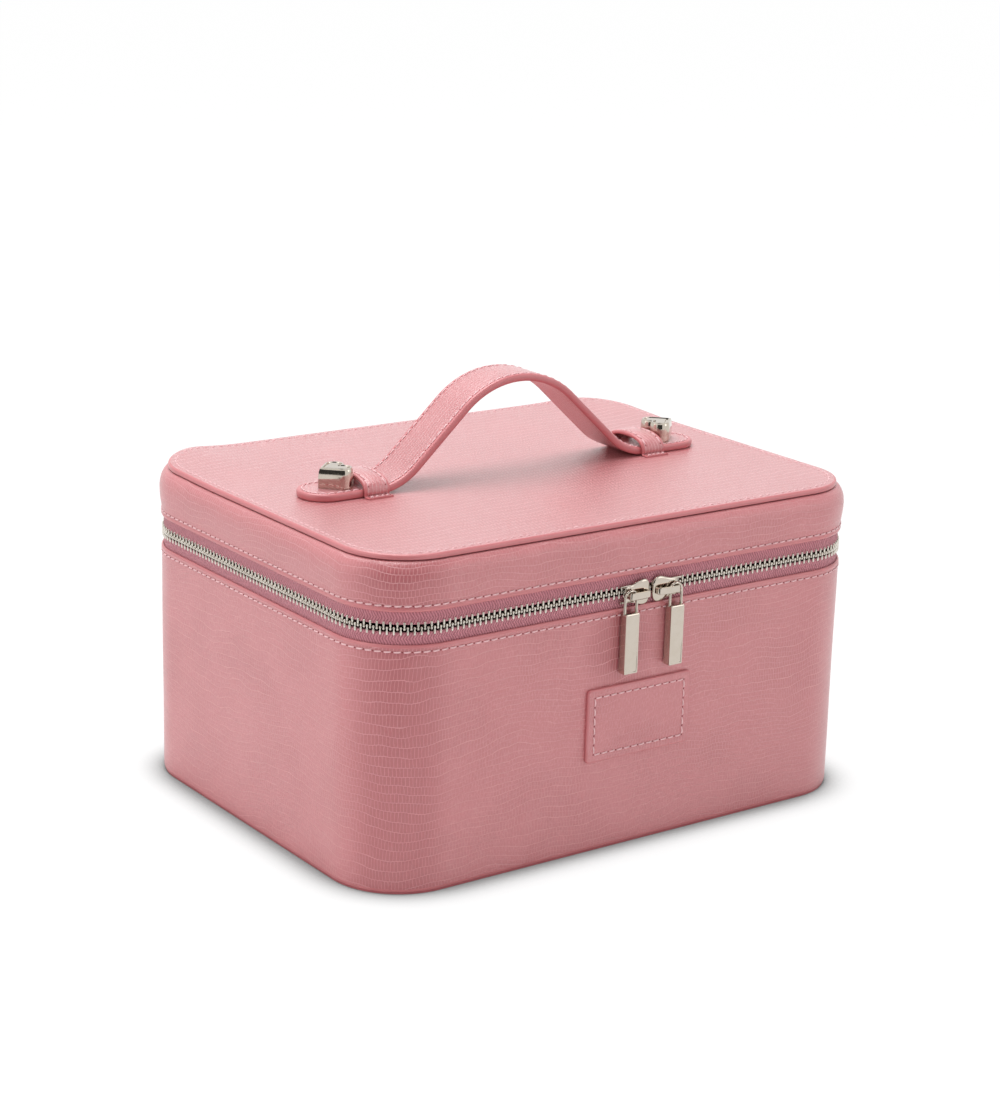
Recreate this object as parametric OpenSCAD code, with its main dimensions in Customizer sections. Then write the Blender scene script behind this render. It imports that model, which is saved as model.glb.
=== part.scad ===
// Zip-around vanity case with a strap handle on the lid.
// X runs along the length, the zip pulls are at -Y, the hinge is at +Y, and the base stands on z = 0.

/* [Case] */
// Length of the case, left to right
case_length = 260; // [230:1:290]
// Depth of the case, front to back
case_depth = 200; // [180:1:220]
// Radius of the four upright corners
corner_radius = 32; // [26:1:36]
// Height of the body's outer cover
body_height = 106.2; // [85:0.1:130]
// Height of the open band between the two covers, where the zip runs
zip_band = 13.5; // [13:0.1:16]
// Height of the lid, from its lower edge to the top of its panel
lid_height = 22.7; // [20:0.1:34]

/* [Walls] */
// Thickness of the outer covers
cover_thick = 1; // [0.8:0.1:1.2]
// Thickness of the stiff boards
board_thick = 2.5; // [2:0.1:3]
// Thickness of the inner lining
lining_thick = 0.8; // [0.5:0.1:1]
// Gap that the base cover's edge is set back under the wall
base_setback = 0.6; // [0.4:0.1:0.9]
// Height that tapes and hinge strip are sewn in behind each cover
sewn_depth = 9; // [7:0.5:10]
// Distance that the linings stop short of the covers' edges
lining_setback = 0.5; // [0.3:0.1:1]

/* [Lid top] */
// Radius of the lid's rounded shoulder
shoulder_radius = 3.9; // [3.2:0.1:4.5]
// Distance of the raised panel's edge from the lid's side
panel_inset = 3; // [2.5:0.1:4]
// Height of the raised panel
panel_height = 2.5; // [2:0.1:3]
// Radius of the panel's upper edge
panel_edge_radius = 1.2; // [0.8:0.1:1.4]
// Width of the side cover's turned-in edge under the panel
turn_in = 6; // [4:0.5:10]

/* [Zip] */
// Thickness of the zip tapes and of the hinge strip
tape_thick = 0.6; // [0.5:0.05:0.8]
// Spacing of the teeth along one tape
tooth_pitch = 2.7; // [2.4:0.05:3]
// Length of one tooth along the zip
tooth_length = 1.05; // [0.8:0.05:1.1]
// Depth of one tooth through the tape
tooth_depth = 2.2; // [1.8:0.1:2.4]
// Width across both rows of teeth
chain_width = 5.6; // [5.2:0.1:6]
// Width of the channel between the rows, where a slider's post runs
post_channel = 0.9; // [0.8:0.05:1.1]
// Height that a tooth grips of its tape
tooth_grip = 1.2; // [0.9:0.1:1.4]
// Angle round the back corners at which the zip ends
zip_end_angle = 48; // [38:1:55]
// Length of an end stop along the zip
stop_length = 3.2; // [2.5:0.1:4]
// Gap between the last tooth and its end stop
stop_gap = 0.6; // [0.4:0.1:1]
// Gap between the ends of the tapes and the hinge strip
strip_gap = 0.3; // [0.2:0.1:0.6]
// Distance that the zip's middle lies below the middle of the band
zip_sag = 0.1; // [0:0.05:0.3]

/* [Sliders] */
// Where the two sliders meet, from the middle of the front
slider_meet = 5; // [0:0.5:8]
// Gap between the two sliders
slider_gap = 1.6; // [1:0.1:3]
// Length of a slider
slider_length = 15.4; // [14.6:0.1:17]
// Radius of a slider's wide head
slider_head_radius = 5.6; // [5.2:0.1:5.8]
// Width of a slider's tail
slider_tail_width = 7.6; // [6.8:0.1:8.4]
// Thickness of a slider's two plates
slider_plate_thick = 1.3; // [1:0.1:1.5]
// Distance that a slider hangs below the middle of the zip
slider_drop = 0.9; // [0.6:0.1:1]
// Clearance between the teeth and a slider's plates
slider_clearance = 0.35; // [0.3:0.05:0.5]
// Thickness of the post that joins a slider's plates
post_thick = 0.5; // [0.4:0.05:0.55]
// Length of the post along the zip
post_length = 2.6; // [2:0.1:3.4]
// Distance of the post from the edge of the slider's head
post_from_head = 1.2; // [0.8:0.1:1.6]
// Depth that the post is let into each plate
post_bite = 0.5; // [0.2:0.1:0.9]
// Height of the lips that keep the lower row of teeth in
lip_height = 0.8; // [0.5:0.1:1]
// Clearance between the lips and the teeth above them
lip_clearance = 0.25; // [0.15:0.05:0.4]
// Clearance between the lips and the tape between them
tape_clearance = 0.2; // [0.1:0.05:0.3]
// Distance of the bridge from the edge of the slider's head
bridge_from_head = 0.9; // [0.5:0.1:1.4]
// Length of the bridge's foot at the head
bridge_foot = 2.2; // [1.6:0.1:3]
// Distance that the bridge lies below the middle of the slider
bridge_drop = 0.4; // [0:0.1:0.6]
// Distance of the pull's pivot from the slider's tail
pivot_from_tail = 4.2; // [3.6:0.1:5]
// Distance that the bridge's round foot is set back under its edge
foot_setback = 0.05; // [0.02:0.01:0.1]
// Height of the bridge's outer face, seen from the front
bridge_height = 3; // [2.6:0.1:3.2]
// Thickness of the bridge
bridge_thick = 1; // [0.8:0.1:1.3]
// Depth of the tunnel under the bridge
tunnel_depth = 2.4; // [2.2:0.1:3]

/* [Pulls] */
// Width of a pull's bar
pull_width = 7.2; // [6.2:0.1:7.4]
// Length of a pull's bar
pull_length = 26.3; // [18:0.1:28]
// Thickness of a pull's bar
pull_thick = 4.1; // [1.8:0.1:4.1]
// Thickness of the ring's wire
ring_wire = 1.3; // [1.1:0.05:1.5]
// Length of the ring's straight legs
ring_leg = 6.3; // [5.6:0.1:8]
// Distance that the ring stands out past the bar on each side
ring_overhang = 0.1; // [0:0.05:0.3]
// Clearance between a ring and the bridge's foot
ring_clearance = 0.06; // [0.04:0.01:0.1]

/* [Handle] */
// Width of the strap
strap_width = 23.4; // [20:0.2:28]
// Thickness of the strap
strap_thick = 3.4; // [2.8:0.1:3.8]
// Inner radius of the arched middle
arch_radius = 40; // [34:1:44]
// Steepest slope of the arch
arch_slope = 42.5; // [38:0.5:48]
// Length of the straight slope on each side
slope_length = 33.7; // [26:0.5:35]
// Radius where the strap turns flat onto the lid
foot_radius = 32; // [26:1:34]
// Half of the angle of the part that the hand holds
grip_angle = 17; // [14:1:20]
// Distance from the studs' centres to the outer ends of the strap
tab_end = 15.5; // [13:0.5:17]

/* [Loops and studs] */
// Distance that a keeper loop starts before the strap lies flat
loop_lead = 5; // [3:0.5:6]
// Width of a keeper loop along the strap
loop_width = 12.5; // [10:0.5:13]
// Height of a keeper loop above the lid
loop_height = 9; // [8.4:0.1:10]
// Thickness of a keeper loop
loop_thick = 1.7; // [1.4:0.1:2]
// Outer radius of a keeper loop's upper corners
loop_corner = 6.5; // [5.5:0.1:6.8]
// Side clearance between the strap and a keeper loop
loop_clearance = 0.4; // [0.3:0.1:1]
// Width of a keeper loop's sewn foot
loop_foot = 2.6; // [2:0.1:3]
// Thickness of a keeper loop's sewn foot
loop_foot_thick = 0.9; // [0.7:0.1:1.2]
// Clearance between a stud and its keeper loop when the handle is up
stud_clearance = 0.4; // [0.3:0.1:1]
// Width of a stud's heart outline
stud_width = 16; // [13:0.5:18]
// Height of a stud above the strap
stud_height = 9.4; // [7:0.1:11]
// Height of a stud's narrower crown
stud_crown = 0.8; // [0.5:0.1:1.2]
// Size of the crown as a share of the stud's outline
crown_share = 0.88; // [0.8:0.01:0.95]
// Radius of the screw in a stud
screw_radius = 1.5; // [1.2:0.1:2]
// Radius of the screw's head
screw_head_radius = 3.8; // [3:0.1:4.5]
// Thickness of the screw's head
screw_head_thick = 1.1; // [0.8:0.1:1.4]
// Depth that the screw goes into a stud
screw_depth = 5; // [3:0.5:6]
// Radial clearance round the screw
screw_clearance = 0.05; // [0.02:0.01:0.1]

/* [Front patch] */
// Width of the patch
patch_width = 55; // [40:1:70]
// Height of the patch
patch_height = 32.5; // [24:0.5:34]
// Thickness of the patch
patch_thick = 1.5; // [1:0.1:1.6]
// Radius of the patch's corners
patch_corner = 2; // [1:0.5:4]
// Middle of the patch along the front
patch_x = 1; // [-8:0.5:8]
// Height of the patch's lower edge
patch_z = 40.5; // [30:0.5:44]

/* [Hidden] */

// Smoothness of every round surface
round_fn = 96;
// Reach of a cutting shape past the thing that it cuts
past = 5;
// Steps in each bend of the strap's two rises
bend_steps = 12;

// Colours
leather = "#d98f9a";
leather_edge = "#c47480";
tape_pink = "#b9707f";
lining_pink = "#e9c8cc";
board_grey = "#b9a58f";
foam_white = "#f1eee6";
nickel = "#cfcac4";

// Heights
lid_bottom = body_height + zip_band;
lid_top = lid_bottom + lid_height;
zip_z = body_height + zip_band / 2 - zip_sag;
shoulder_top = lid_top - panel_height;
flange_bottom = shoulder_top - cover_thick;
shoulder_z = shoulder_top - shoulder_radius;
top_board_z = shoulder_z - board_thick;
inner_shoulder_radius = shoulder_radius - cover_thick;

// Insets from the case's outline
board_inset = cover_thick;
lining_inset = board_inset + board_thick;
skived_inset = cover_thick + tape_thick;
tape_middle_inset = cover_thick + tape_thick / 2;
flange_inset = shoulder_radius + turn_in;
panel_board_inset = panel_inset + cover_thick;

// The zip's path, which starts in the middle of the front
half_length = case_length / 2;
half_depth = case_depth / 2;
corner_x = half_length - corner_radius;
corner_y = half_depth - corner_radius;
path_radius = corner_radius - tape_middle_inset;
front_run = corner_x;
corner_run = path_radius * PI / 2;
side_run = 2 * corner_y;
end_run = path_radius * PI / 180 * zip_end_angle;
path_half = front_run + corner_run + side_run + end_run;
zip_end_y = corner_y + corner_radius * sin(zip_end_angle);
teeth_half = path_half - stop_length - stop_gap - 2 * tooth_pitch;
teeth_each_way = floor(teeth_half / tooth_pitch);
tooth_reach = chain_width / 2;
tooth_tip = post_channel / 2;

// The strap's arch: places on its underside, measured from the middle
arch_x = arch_radius * sin(arch_slope);
arch_drop = arch_radius * (1 - cos(arch_slope));
slope_x = arch_x + slope_length * cos(arch_slope);
slope_drop = arch_drop + slope_length * sin(arch_slope);
foot_x = slope_x + foot_radius * sin(arch_slope);
arch_height = slope_drop + foot_radius * (1 - cos(arch_slope));

// Keeper loops and studs
loop_inner_half = strap_width / 2 + loop_clearance;
loop_outer_half = loop_inner_half + loop_thick;
loop_x = foot_x - loop_lead;
loop_end = loop_x + loop_width;
lobe_radius = stud_width / (2 + sqrt(2));
lobe_shift = lobe_radius / sqrt(2);
stud_back = lobe_shift + lobe_radius;
stud_x = loop_end + stud_clearance + stud_back;

// Sliders, measured from the head's edge towards the tail
front_face = -half_depth;
teeth_face = front_face + tape_middle_inset - tooth_depth / 2;
teeth_back = front_face + tape_middle_inset + tooth_depth / 2;
plate_back = teeth_face - slider_clearance;
plate_face = plate_back - slider_plate_thick;
inner_plate_face = teeth_back + slider_clearance;
bridge_back = plate_face - tunnel_depth;
slider_z = zip_z - slider_drop;
bridge_z = slider_z - bridge_drop;
ring_foot_radius = bridge_height / 2 - foot_setback;
pivot_from_head = slider_length - pivot_from_tail;
ring_outer = pull_width / 2 + ring_overhang;
ring_inner = ring_outer - ring_wire;
ring_middle_y = (plate_face + bridge_back) / 2;

// ---------- shared shapes ----------

// The case's outline, moved inwards
module outline(inset) {
    r = corner_radius - inset;
    union() {
        square([case_length - 2 * inset, case_depth - 2 * inset - 2 * r], center = true);
        square([case_length - 2 * inset - 2 * r, case_depth - 2 * inset], center = true);
        for (x = [-1, 1], y = [-1, 1])
            translate([x * corner_x, y * corner_y])
                circle(r = r, $fn = round_fn);
    }
}

// A flat sheet with the case's outline
module sheet(inset, z, thick) {
    translate([0, 0, z])
        linear_extrude(thick)
            outline(inset);
}

// A wall that follows the case's outline
module wall(inset, thick, z, height) {
    translate([0, 0, z])
        linear_extrude(height)
            difference() {
                outline(inset);
                outline(inset + thick);
            }
}

// A profile carried round the outline: its x is outwards from the outline and its y is up
module carried_round() {
    for (turn = [0, 180])
        rotate([0, 0, turn])
            translate([-corner_x, half_depth, 0])
                rotate([90, 0, 90])
                    linear_extrude(2 * corner_x)
                        children();
    for (turn = [90, 270])
        rotate([0, 0, turn])
            translate([-corner_y, half_length, 0])
                rotate([90, 0, 90])
                    linear_extrude(2 * corner_y)
                        children();
    corners = [[1, 1, 0], [-1, 1, 90], [-1, -1, 180], [1, -1, 270]];
    for (c = corners)
        translate([c[0] * corner_x, c[1] * corner_y, 0])
            rotate([0, 0, c[2]])
                rotate_extrude(angle = 90, $fn = round_fn)
                    translate([corner_radius, 0])
                        children();
}

// Everything behind the zip's ends, or in front of them
module behind_zip_ends() {
    translate([-case_length, zip_end_y + strip_gap, 0])
        cube([2 * case_length, case_depth, 2 * lid_top]);
}

module before_zip_ends() {
    translate([-case_length, zip_end_y - 2 * case_depth, 0])
        cube([2 * case_length, 2 * case_depth, 2 * lid_top]);
}

// ---------- body ----------

module base_cover() {
    color(leather_edge)
        sheet(base_setback, 0, cover_thick);
}

module base_board() {
    color(board_grey)
        sheet(board_inset, cover_thick, board_thick);
}

module base_lining() {
    color(lining_pink)
        sheet(lining_inset, cover_thick + board_thick, lining_thick);
}

module body_side_cover() {
    color(leather)
        wall(0, cover_thick, cover_thick, body_height - cover_thick);
}

module body_wall_board() {
    foot = cover_thick + board_thick;
    skived_z = body_height - sewn_depth;
    color(board_grey)
        union() {
            wall(board_inset, board_thick, foot, skived_z - foot);
            wall(skived_inset, lining_inset - skived_inset, skived_z, sewn_depth);
        }
}

module body_wall_lining() {
    foot = cover_thick + board_thick + lining_thick;
    color(lining_pink)
        wall(lining_inset, lining_thick, foot, body_height - lining_setback - foot);
}

module front_patch() {
    color(leather_edge)
        translate([patch_x, front_face, patch_z + patch_height / 2])
            rotate([90, 0, 0])
                linear_extrude(patch_thick)
                    union() {
                        square([patch_width, patch_height - 2 * patch_corner], center = true);
                        square([patch_width - 2 * patch_corner, patch_height], center = true);
                        for (x = [-1, 1], y = [-1, 1])
                            translate([x * (patch_width / 2 - patch_corner),
                                       y * (patch_height / 2 - patch_corner)])
                                circle(r = patch_corner, $fn = round_fn);
                    }
}

module back_hinge_strip() {
    color(leather_edge)
        intersection() {
            wall(cover_thick, tape_thick, body_height - sewn_depth, zip_band + 2 * sewn_depth);
            behind_zip_ends();
        }
}

// ---------- zip ----------

module lower_zip_tape() {
    low = body_height - sewn_depth;
    color(tape_pink)
        intersection() {
            wall(cover_thick, tape_thick, low, zip_z - tooth_reach + tooth_grip - low);
            before_zip_ends();
        }
}

module upper_zip_tape() {
    low = zip_z + tooth_reach - tooth_grip;
    color(tape_pink)
        intersection() {
            wall(cover_thick, tape_thick, low, lid_bottom + sewn_depth - low);
            before_zip_ends();
        }
}

// Place and turn of a point on the right half of the zip's path: [x, y, degrees]
function right_path(s) =
    s < front_run
    ? [s, -corner_y - path_radius, 0]
    : s < front_run + corner_run
    ? let (a = (s - front_run) / path_radius * 180 / PI)
      [corner_x + path_radius * sin(a), -corner_y - path_radius * cos(a), a]
    : s < front_run + corner_run + side_run
    ? [corner_x + path_radius, s - front_run - corner_run - corner_y, 90]
    : let (a = (s - front_run - corner_run - side_run) / path_radius * 180 / PI)
      [corner_x + path_radius * cos(a), corner_y + path_radius * sin(a), 90 + a];

function zip_path(s) =
    let (p = right_path(abs(s)))
    s < 0 ? [-p[0], p[1], -p[2]] : p;

// A U-shaped metal piece that grips the edge of the tape, pointing up.
// Its slot is wide enough for the tape's bend round a corner.
module clamped_piece(length, tip) {
    slot = tape_thick / 2 + length * length / (8 * path_radius);
    rotate([90, 0, 90])
        translate([0, 0, -length / 2])
            linear_extrude(length)
                polygon([
                    [-tooth_depth / 2, -tooth_reach],
                    [-slot, -tooth_reach],
                    [-slot, -tooth_reach + tooth_grip],
                    [slot, -tooth_reach + tooth_grip],
                    [slot, -tooth_reach],
                    [tooth_depth / 2, -tooth_reach],
                    [tooth_depth / 2, -tip],
                    [-tooth_depth / 2, -tip]
                ]);
}

module on_zip(s) {
    p = zip_path(s);
    translate([p[0], p[1], zip_z])
        rotate([0, 0, p[2]])
            children();
}

module lower_zip_teeth() {
    color(nickel)
        for (i = [-teeth_each_way : teeth_each_way])
            on_zip(i * tooth_pitch)
                clamped_piece(tooth_length, tooth_tip);
}

module upper_zip_teeth() {
    color(nickel)
        for (i = [-teeth_each_way : teeth_each_way - 1])
            on_zip((i + 0.5) * tooth_pitch)
                mirror([0, 0, 1])
                    clamped_piece(tooth_length, tooth_tip);
}

module lower_zip_stops() {
    color(nickel)
        for (side = [-1, 1])
            on_zip(side * (path_half - stop_length))
                clamped_piece(stop_length, tooth_tip);
}

module upper_zip_stops() {
    color(nickel)
        for (side = [-1, 1])
            on_zip(side * (path_half - stop_length))
                mirror([0, 0, 1])
                    clamped_piece(stop_length, tooth_tip);
}

// ---------- lid ----------

// Side wall of the lid's cover, its rounded shoulder and the edge turned in under the panel
module lid_side_profile() {
    translate([-cover_thick, lid_bottom])
        square([cover_thick, shoulder_z - lid_bottom]);
    translate([-flange_inset, flange_bottom])
        square([flange_inset - shoulder_radius, cover_thick]);
    translate([-shoulder_radius, shoulder_z])
        intersection() {
            difference() {
                circle(r = shoulder_radius, $fn = round_fn);
                circle(r = inner_shoulder_radius, $fn = round_fn);
            }
            square(shoulder_radius);
        }
}

module lid_side_cover() {
    color(leather)
        carried_round()
            lid_side_profile();
}

module lid_wall_board() {
    skived_top = lid_bottom + sewn_depth;
    color(board_grey)
        union() {
            wall(skived_inset, lining_inset - skived_inset, lid_bottom, sewn_depth);
            wall(board_inset, board_thick, skived_top, top_board_z - skived_top);
        }
}

module lid_wall_lining() {
    low = lid_bottom + lining_setback;
    color(lining_pink)
        wall(lining_inset, lining_thick, low, top_board_z - lining_thick - low);
}

module lid_top_board() {
    color(board_grey)
        sheet(board_inset, top_board_z, board_thick);
}

module lid_top_lining() {
    color(lining_pink)
        sheet(lining_inset, top_board_z - lining_thick, lining_thick);
}

// Foam that fills the shoulder and the space inside the turned-in edge
module lid_top_foam() {
    color(foam_white)
        union() {
            sheet(shoulder_radius, shoulder_z, inner_shoulder_radius);
            sheet(flange_inset, flange_bottom, cover_thick);
            carried_round()
                translate([-shoulder_radius, shoulder_z])
                    intersection() {
                        circle(r = inner_shoulder_radius, $fn = round_fn);
                        square(inner_shoulder_radius);
                    }
        }
}

module lid_panel_board() {
    color(board_grey)
        sheet(panel_board_inset, shoulder_top, panel_height - cover_thick);
}

// Edge of the raised panel: rounded above, open below for the panel's board
module panel_edge_profile() {
    panel_board_top = lid_top - cover_thick;
    difference() {
        union() {
            translate([-panel_inset - cover_thick, shoulder_top])
                square([cover_thick, panel_height - panel_edge_radius]);
            translate([-panel_inset - panel_edge_radius, lid_top - panel_edge_radius])
                circle(r = panel_edge_radius, $fn = round_fn);
            translate([-panel_inset - 2 * panel_edge_radius, panel_board_top])
                square([panel_edge_radius, cover_thick]);
        }
        translate([-panel_inset - cover_thick - past, shoulder_top - past])
            square([past, panel_height - cover_thick + past]);
    }
}

module lid_top_cover() {
    color(leather)
        union() {
            sheet(panel_inset + 2 * panel_edge_radius, lid_top - cover_thick, cover_thick);
            carried_round()
                panel_edge_profile();
        }
}

// Keeper loop on the right half: an arch over the strap, with a sewn foot at each end
module keeper_loop() {
    color(leather)
        translate([loop_x, 0, lid_top])
            rotate([90, 0, 90])
                linear_extrude(loop_width)
                    union() {
                        difference() {
                            intersection() {
                                arch_outline(loop_outer_half, loop_height, loop_corner);
                                translate([-strap_width, 0])
                                    square([2 * strap_width, 2 * loop_height]);
                            }
                            translate([0, -past])
                                arch_outline(loop_inner_half, loop_height - loop_thick + past,
                                             loop_corner - loop_thick);
                        }
                        for (side = [-1, 1])
                            translate([side * (loop_outer_half + loop_foot / 2), loop_foot_thick / 2])
                                square([loop_foot, loop_foot_thick], center = true);
                    }
}

module arch_outline(half, height, r) {
    translate([-half, 0])
        square([2 * half, height - r]);
    translate([-(half - r), 0])
        square([2 * (half - r), height]);
    for (side = [-1, 1])
        translate([side * (half - r), height - r])
            circle(r = r, $fn = round_fn);
}

module left_loop() {
    mirror([1, 0, 0])
        keeper_loop();
}

module right_loop() {
    keeper_loop();
}

// ---------- handle ----------

// The top of the arch, which the hand holds
module handle_grip() {
    color(leather)
        translate([0, 0, lid_top + arch_height - arch_radius])
            rotate([90, 0, 0])
                rotate([0, 0, 90 - grip_angle])
                    rotate_extrude(angle = 2 * grip_angle, $fn = round_fn)
                        translate([arch_radius, -strap_width / 2])
                            square([strap_thick, strap_width]);
}

// Right half of the strap between the grip and the flat tab, seen from the front
function upper_arc(r) = [
    for (i = [0 : bend_steps])
        let (a = grip_angle + (arch_slope - grip_angle) * i / bend_steps)
            [r * sin(a), arch_height - arch_radius + r * cos(a)]
];

function lower_arc(r) = [
    for (i = [0 : bend_steps])
        let (a = arch_slope * (1 - i / bend_steps))
            [foot_x - r * sin(a), foot_radius - r * cos(a)]
];

module handle_rise() {
    underside = concat(upper_arc(arch_radius), lower_arc(foot_radius));
    upside = concat(upper_arc(arch_radius + strap_thick), lower_arc(foot_radius - strap_thick));
    back = [for (i = [len(upside) - 1 : -1 : 0]) upside[i]];
    color(leather)
        translate([0, strap_width / 2, lid_top])
            rotate([90, 0, 0])
                linear_extrude(strap_width)
                    polygon(concat(underside, back));
}

module left_handle_rise() {
    mirror([1, 0, 0])
        handle_rise();
}

module right_handle_rise() {
    handle_rise();
}

// Flat round-ended tab on the right, recessed below for the screw's head
module tab() {
    tip = stud_x + tab_end;
    color(leather)
        translate([0, 0, lid_top])
            difference() {
                linear_extrude(strap_thick)
                    union() {
                        translate([foot_x, -strap_width / 2])
                            square([tip - strap_width / 2 - foot_x, strap_width]);
                        translate([tip - strap_width / 2, 0])
                            circle(d = strap_width, $fn = round_fn);
                    }
                translate([stud_x, 0, -past])
                    cylinder(r = screw_radius + screw_clearance, h = strap_thick + 2 * past, $fn = round_fn);
                translate([stud_x, 0, -past])
                    cylinder(r = screw_head_radius + screw_clearance,
                             h = screw_head_thick + past, $fn = round_fn);
            }
}

// Heart outline with its point towards +X and its notch towards the handle
module heart() {
    rotate([0, 0, -45])
        union() {
            square(2 * lobe_radius, center = true);
            translate([-lobe_radius, 0])
                circle(r = lobe_radius, $fn = round_fn);
            translate([0, -lobe_radius])
                circle(r = lobe_radius, $fn = round_fn);
        }
}

module stud() {
    color(nickel)
        translate([stud_x, 0, lid_top + strap_thick])
            difference() {
                union() {
                    linear_extrude(stud_height - stud_crown)
                        heart();
                    linear_extrude(stud_height)
                        scale(crown_share)
                            heart();
                }
                translate([0, 0, -past])
                    cylinder(r = screw_radius + screw_clearance, h = screw_depth + past, $fn = round_fn);
            }
}

module stud_screw() {
    color(nickel)
        translate([stud_x, 0, lid_top])
            union() {
                cylinder(r = screw_head_radius, h = screw_head_thick, $fn = round_fn);
                cylinder(r = screw_radius, h = strap_thick + screw_depth, $fn = round_fn);
            }
}

module left_tab() {
    mirror([1, 0, 0])
        tab();
}

module left_stud() {
    mirror([1, 0, 0])
        stud();
}

module left_stud_screw() {
    mirror([1, 0, 0])
        stud_screw();
}

module right_tab() {
    tab();
}

module right_stud() {
    stud();
}

module right_stud_screw() {
    stud_screw();
}

// ---------- sliders and pulls ----------

// Drawn with the head's edge at x = 0 and the tail towards +X
module on_right() {
    translate([slider_meet + slider_gap / 2, 0, 0])
        children();
}

module on_left() {
    translate([slider_meet - slider_gap / 2, 0, 0])
        mirror([1, 0, 0])
            children();
}

module slider_outline() {
    translate([slider_head_radius, 0])
        circle(r = slider_head_radius, $fn = round_fn);
    polygon([
        [slider_head_radius, -slider_head_radius],
        [slider_length, -slider_tail_width / 2],
        [slider_length, slider_tail_width / 2],
        [slider_head_radius, slider_head_radius]
    ]);
}

// A flat shape in the plane of the front, from one depth to another
module facing(y_front, y_back, z) {
    translate([0, y_back, z])
        rotate([90, 0, 0])
            linear_extrude(y_back - y_front)
                children();
}

module slider_casting() {
    lip_z = zip_z - tooth_reach - lip_clearance - lip_height;
    lip_start = slider_head_radius;
    lip_length = slider_length - lip_start;
    tape_face = front_face + cover_thick - tape_clearance;
    tape_back = front_face + skived_inset + tape_clearance;
    color(nickel)
        union() {
            facing(plate_face, plate_back, slider_z)
                slider_outline();
            facing(inner_plate_face, inner_plate_face + slider_plate_thick, slider_z)
                slider_outline();
            // the post that parts the two rows of teeth
            translate([post_from_head, plate_back - post_bite, zip_z - post_thick / 2])
                cube([post_length, inner_plate_face - plate_back + 2 * post_bite, post_thick]);
            // the lips that keep the lower row in
            translate([lip_start, plate_back, lip_z])
                cube([lip_length, tape_face - plate_back, lip_height]);
            translate([lip_start, tape_back, lip_z])
                cube([lip_length, inner_plate_face - tape_back, lip_height]);
        }
}

module slider_bridge() {
    color(nickel)
        union() {
            // round foot that the pull's ring hangs on
            facing(bridge_back - bridge_thick / 2, plate_face, bridge_z)
                translate([pivot_from_head, 0])
                    circle(r = ring_foot_radius, $fn = round_fn);
            facing(bridge_back - bridge_thick / 2, plate_face, bridge_z)
                translate([bridge_from_head + bridge_foot / 2, 0])
                    square([bridge_foot, bridge_height], center = true);
            facing(bridge_back - bridge_thick, bridge_back, bridge_z)
                union() {
                    translate([bridge_from_head, -bridge_height / 2])
                        square([pivot_from_head - bridge_from_head, bridge_height]);
                    translate([pivot_from_head, 0])
                        circle(r = bridge_height / 2, $fn = round_fn);
                }
        }
}

module pull() {
    ring_top = ring_foot_radius + ring_clearance - ring_inner;
    bar_top = ring_top - ring_leg;
    color(nickel)
        translate([pivot_from_head, 0, bridge_z])
            union() {
                facing(ring_middle_y - ring_wire / 2, ring_middle_y + ring_wire / 2, 0)
                    difference() {
                        union() {
                            translate([0, ring_top])
                                circle(r = ring_outer, $fn = round_fn);
                            translate([-ring_outer, bar_top])
                                square([2 * ring_outer, ring_leg]);
                        }
                        translate([0, ring_top])
                            circle(r = ring_inner, $fn = round_fn);
                        translate([-ring_inner, bar_top - past])
                            square([2 * ring_inner, ring_leg + past]);
                    }
                facing(ring_middle_y - pull_thick / 2, ring_middle_y + pull_thick / 2, 0)
                    translate([-pull_width / 2, bar_top - pull_length])
                        square([pull_width, pull_length]);
            }
}

module left_slider() {
    on_left()
        slider_casting();
}

module left_slider_bridge() {
    on_left()
        slider_bridge();
}

module left_pull() {
    on_left()
        pull();
}

module right_slider() {
    on_right()
        slider_casting();
}

module right_slider_bridge() {
    on_right()
        slider_bridge();
}

module right_pull() {
    on_right()
        pull();
}

base_cover();
base_board();
base_lining();
body_side_cover();
body_wall_board();
body_wall_lining();
front_patch();
lower_zip_tape();
lower_zip_teeth();
lower_zip_stops();
back_hinge_strip();
lid_side_cover();
lid_wall_board();
lid_wall_lining();
lid_top_board();
lid_top_lining();
lid_top_foam();
lid_panel_board();
lid_top_cover();
upper_zip_tape();
upper_zip_teeth();
upper_zip_stops();
left_loop();
right_loop();
handle_grip();
left_handle_rise();
right_handle_rise();
left_tab();
left_stud();
left_stud_screw();
right_tab();
right_stud();
right_stud_screw();
left_slider();
left_slider_bridge();
left_pull();
right_slider();
right_slider_bridge();
right_pull();
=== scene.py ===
"""Looks of the zip-around vanity case: covers, stitching, zip, handle and studs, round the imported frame.

X runs along the case, the zip pulls are at -Y, the hinge is at +Y and the base stands on z = 0.
Shapes are worked out in millimetres. make_piece turns them into metres, which the frame and Blender use.
"""
import math

import bmesh
import bpy
from mathutils import Matrix, Vector, noise


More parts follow.
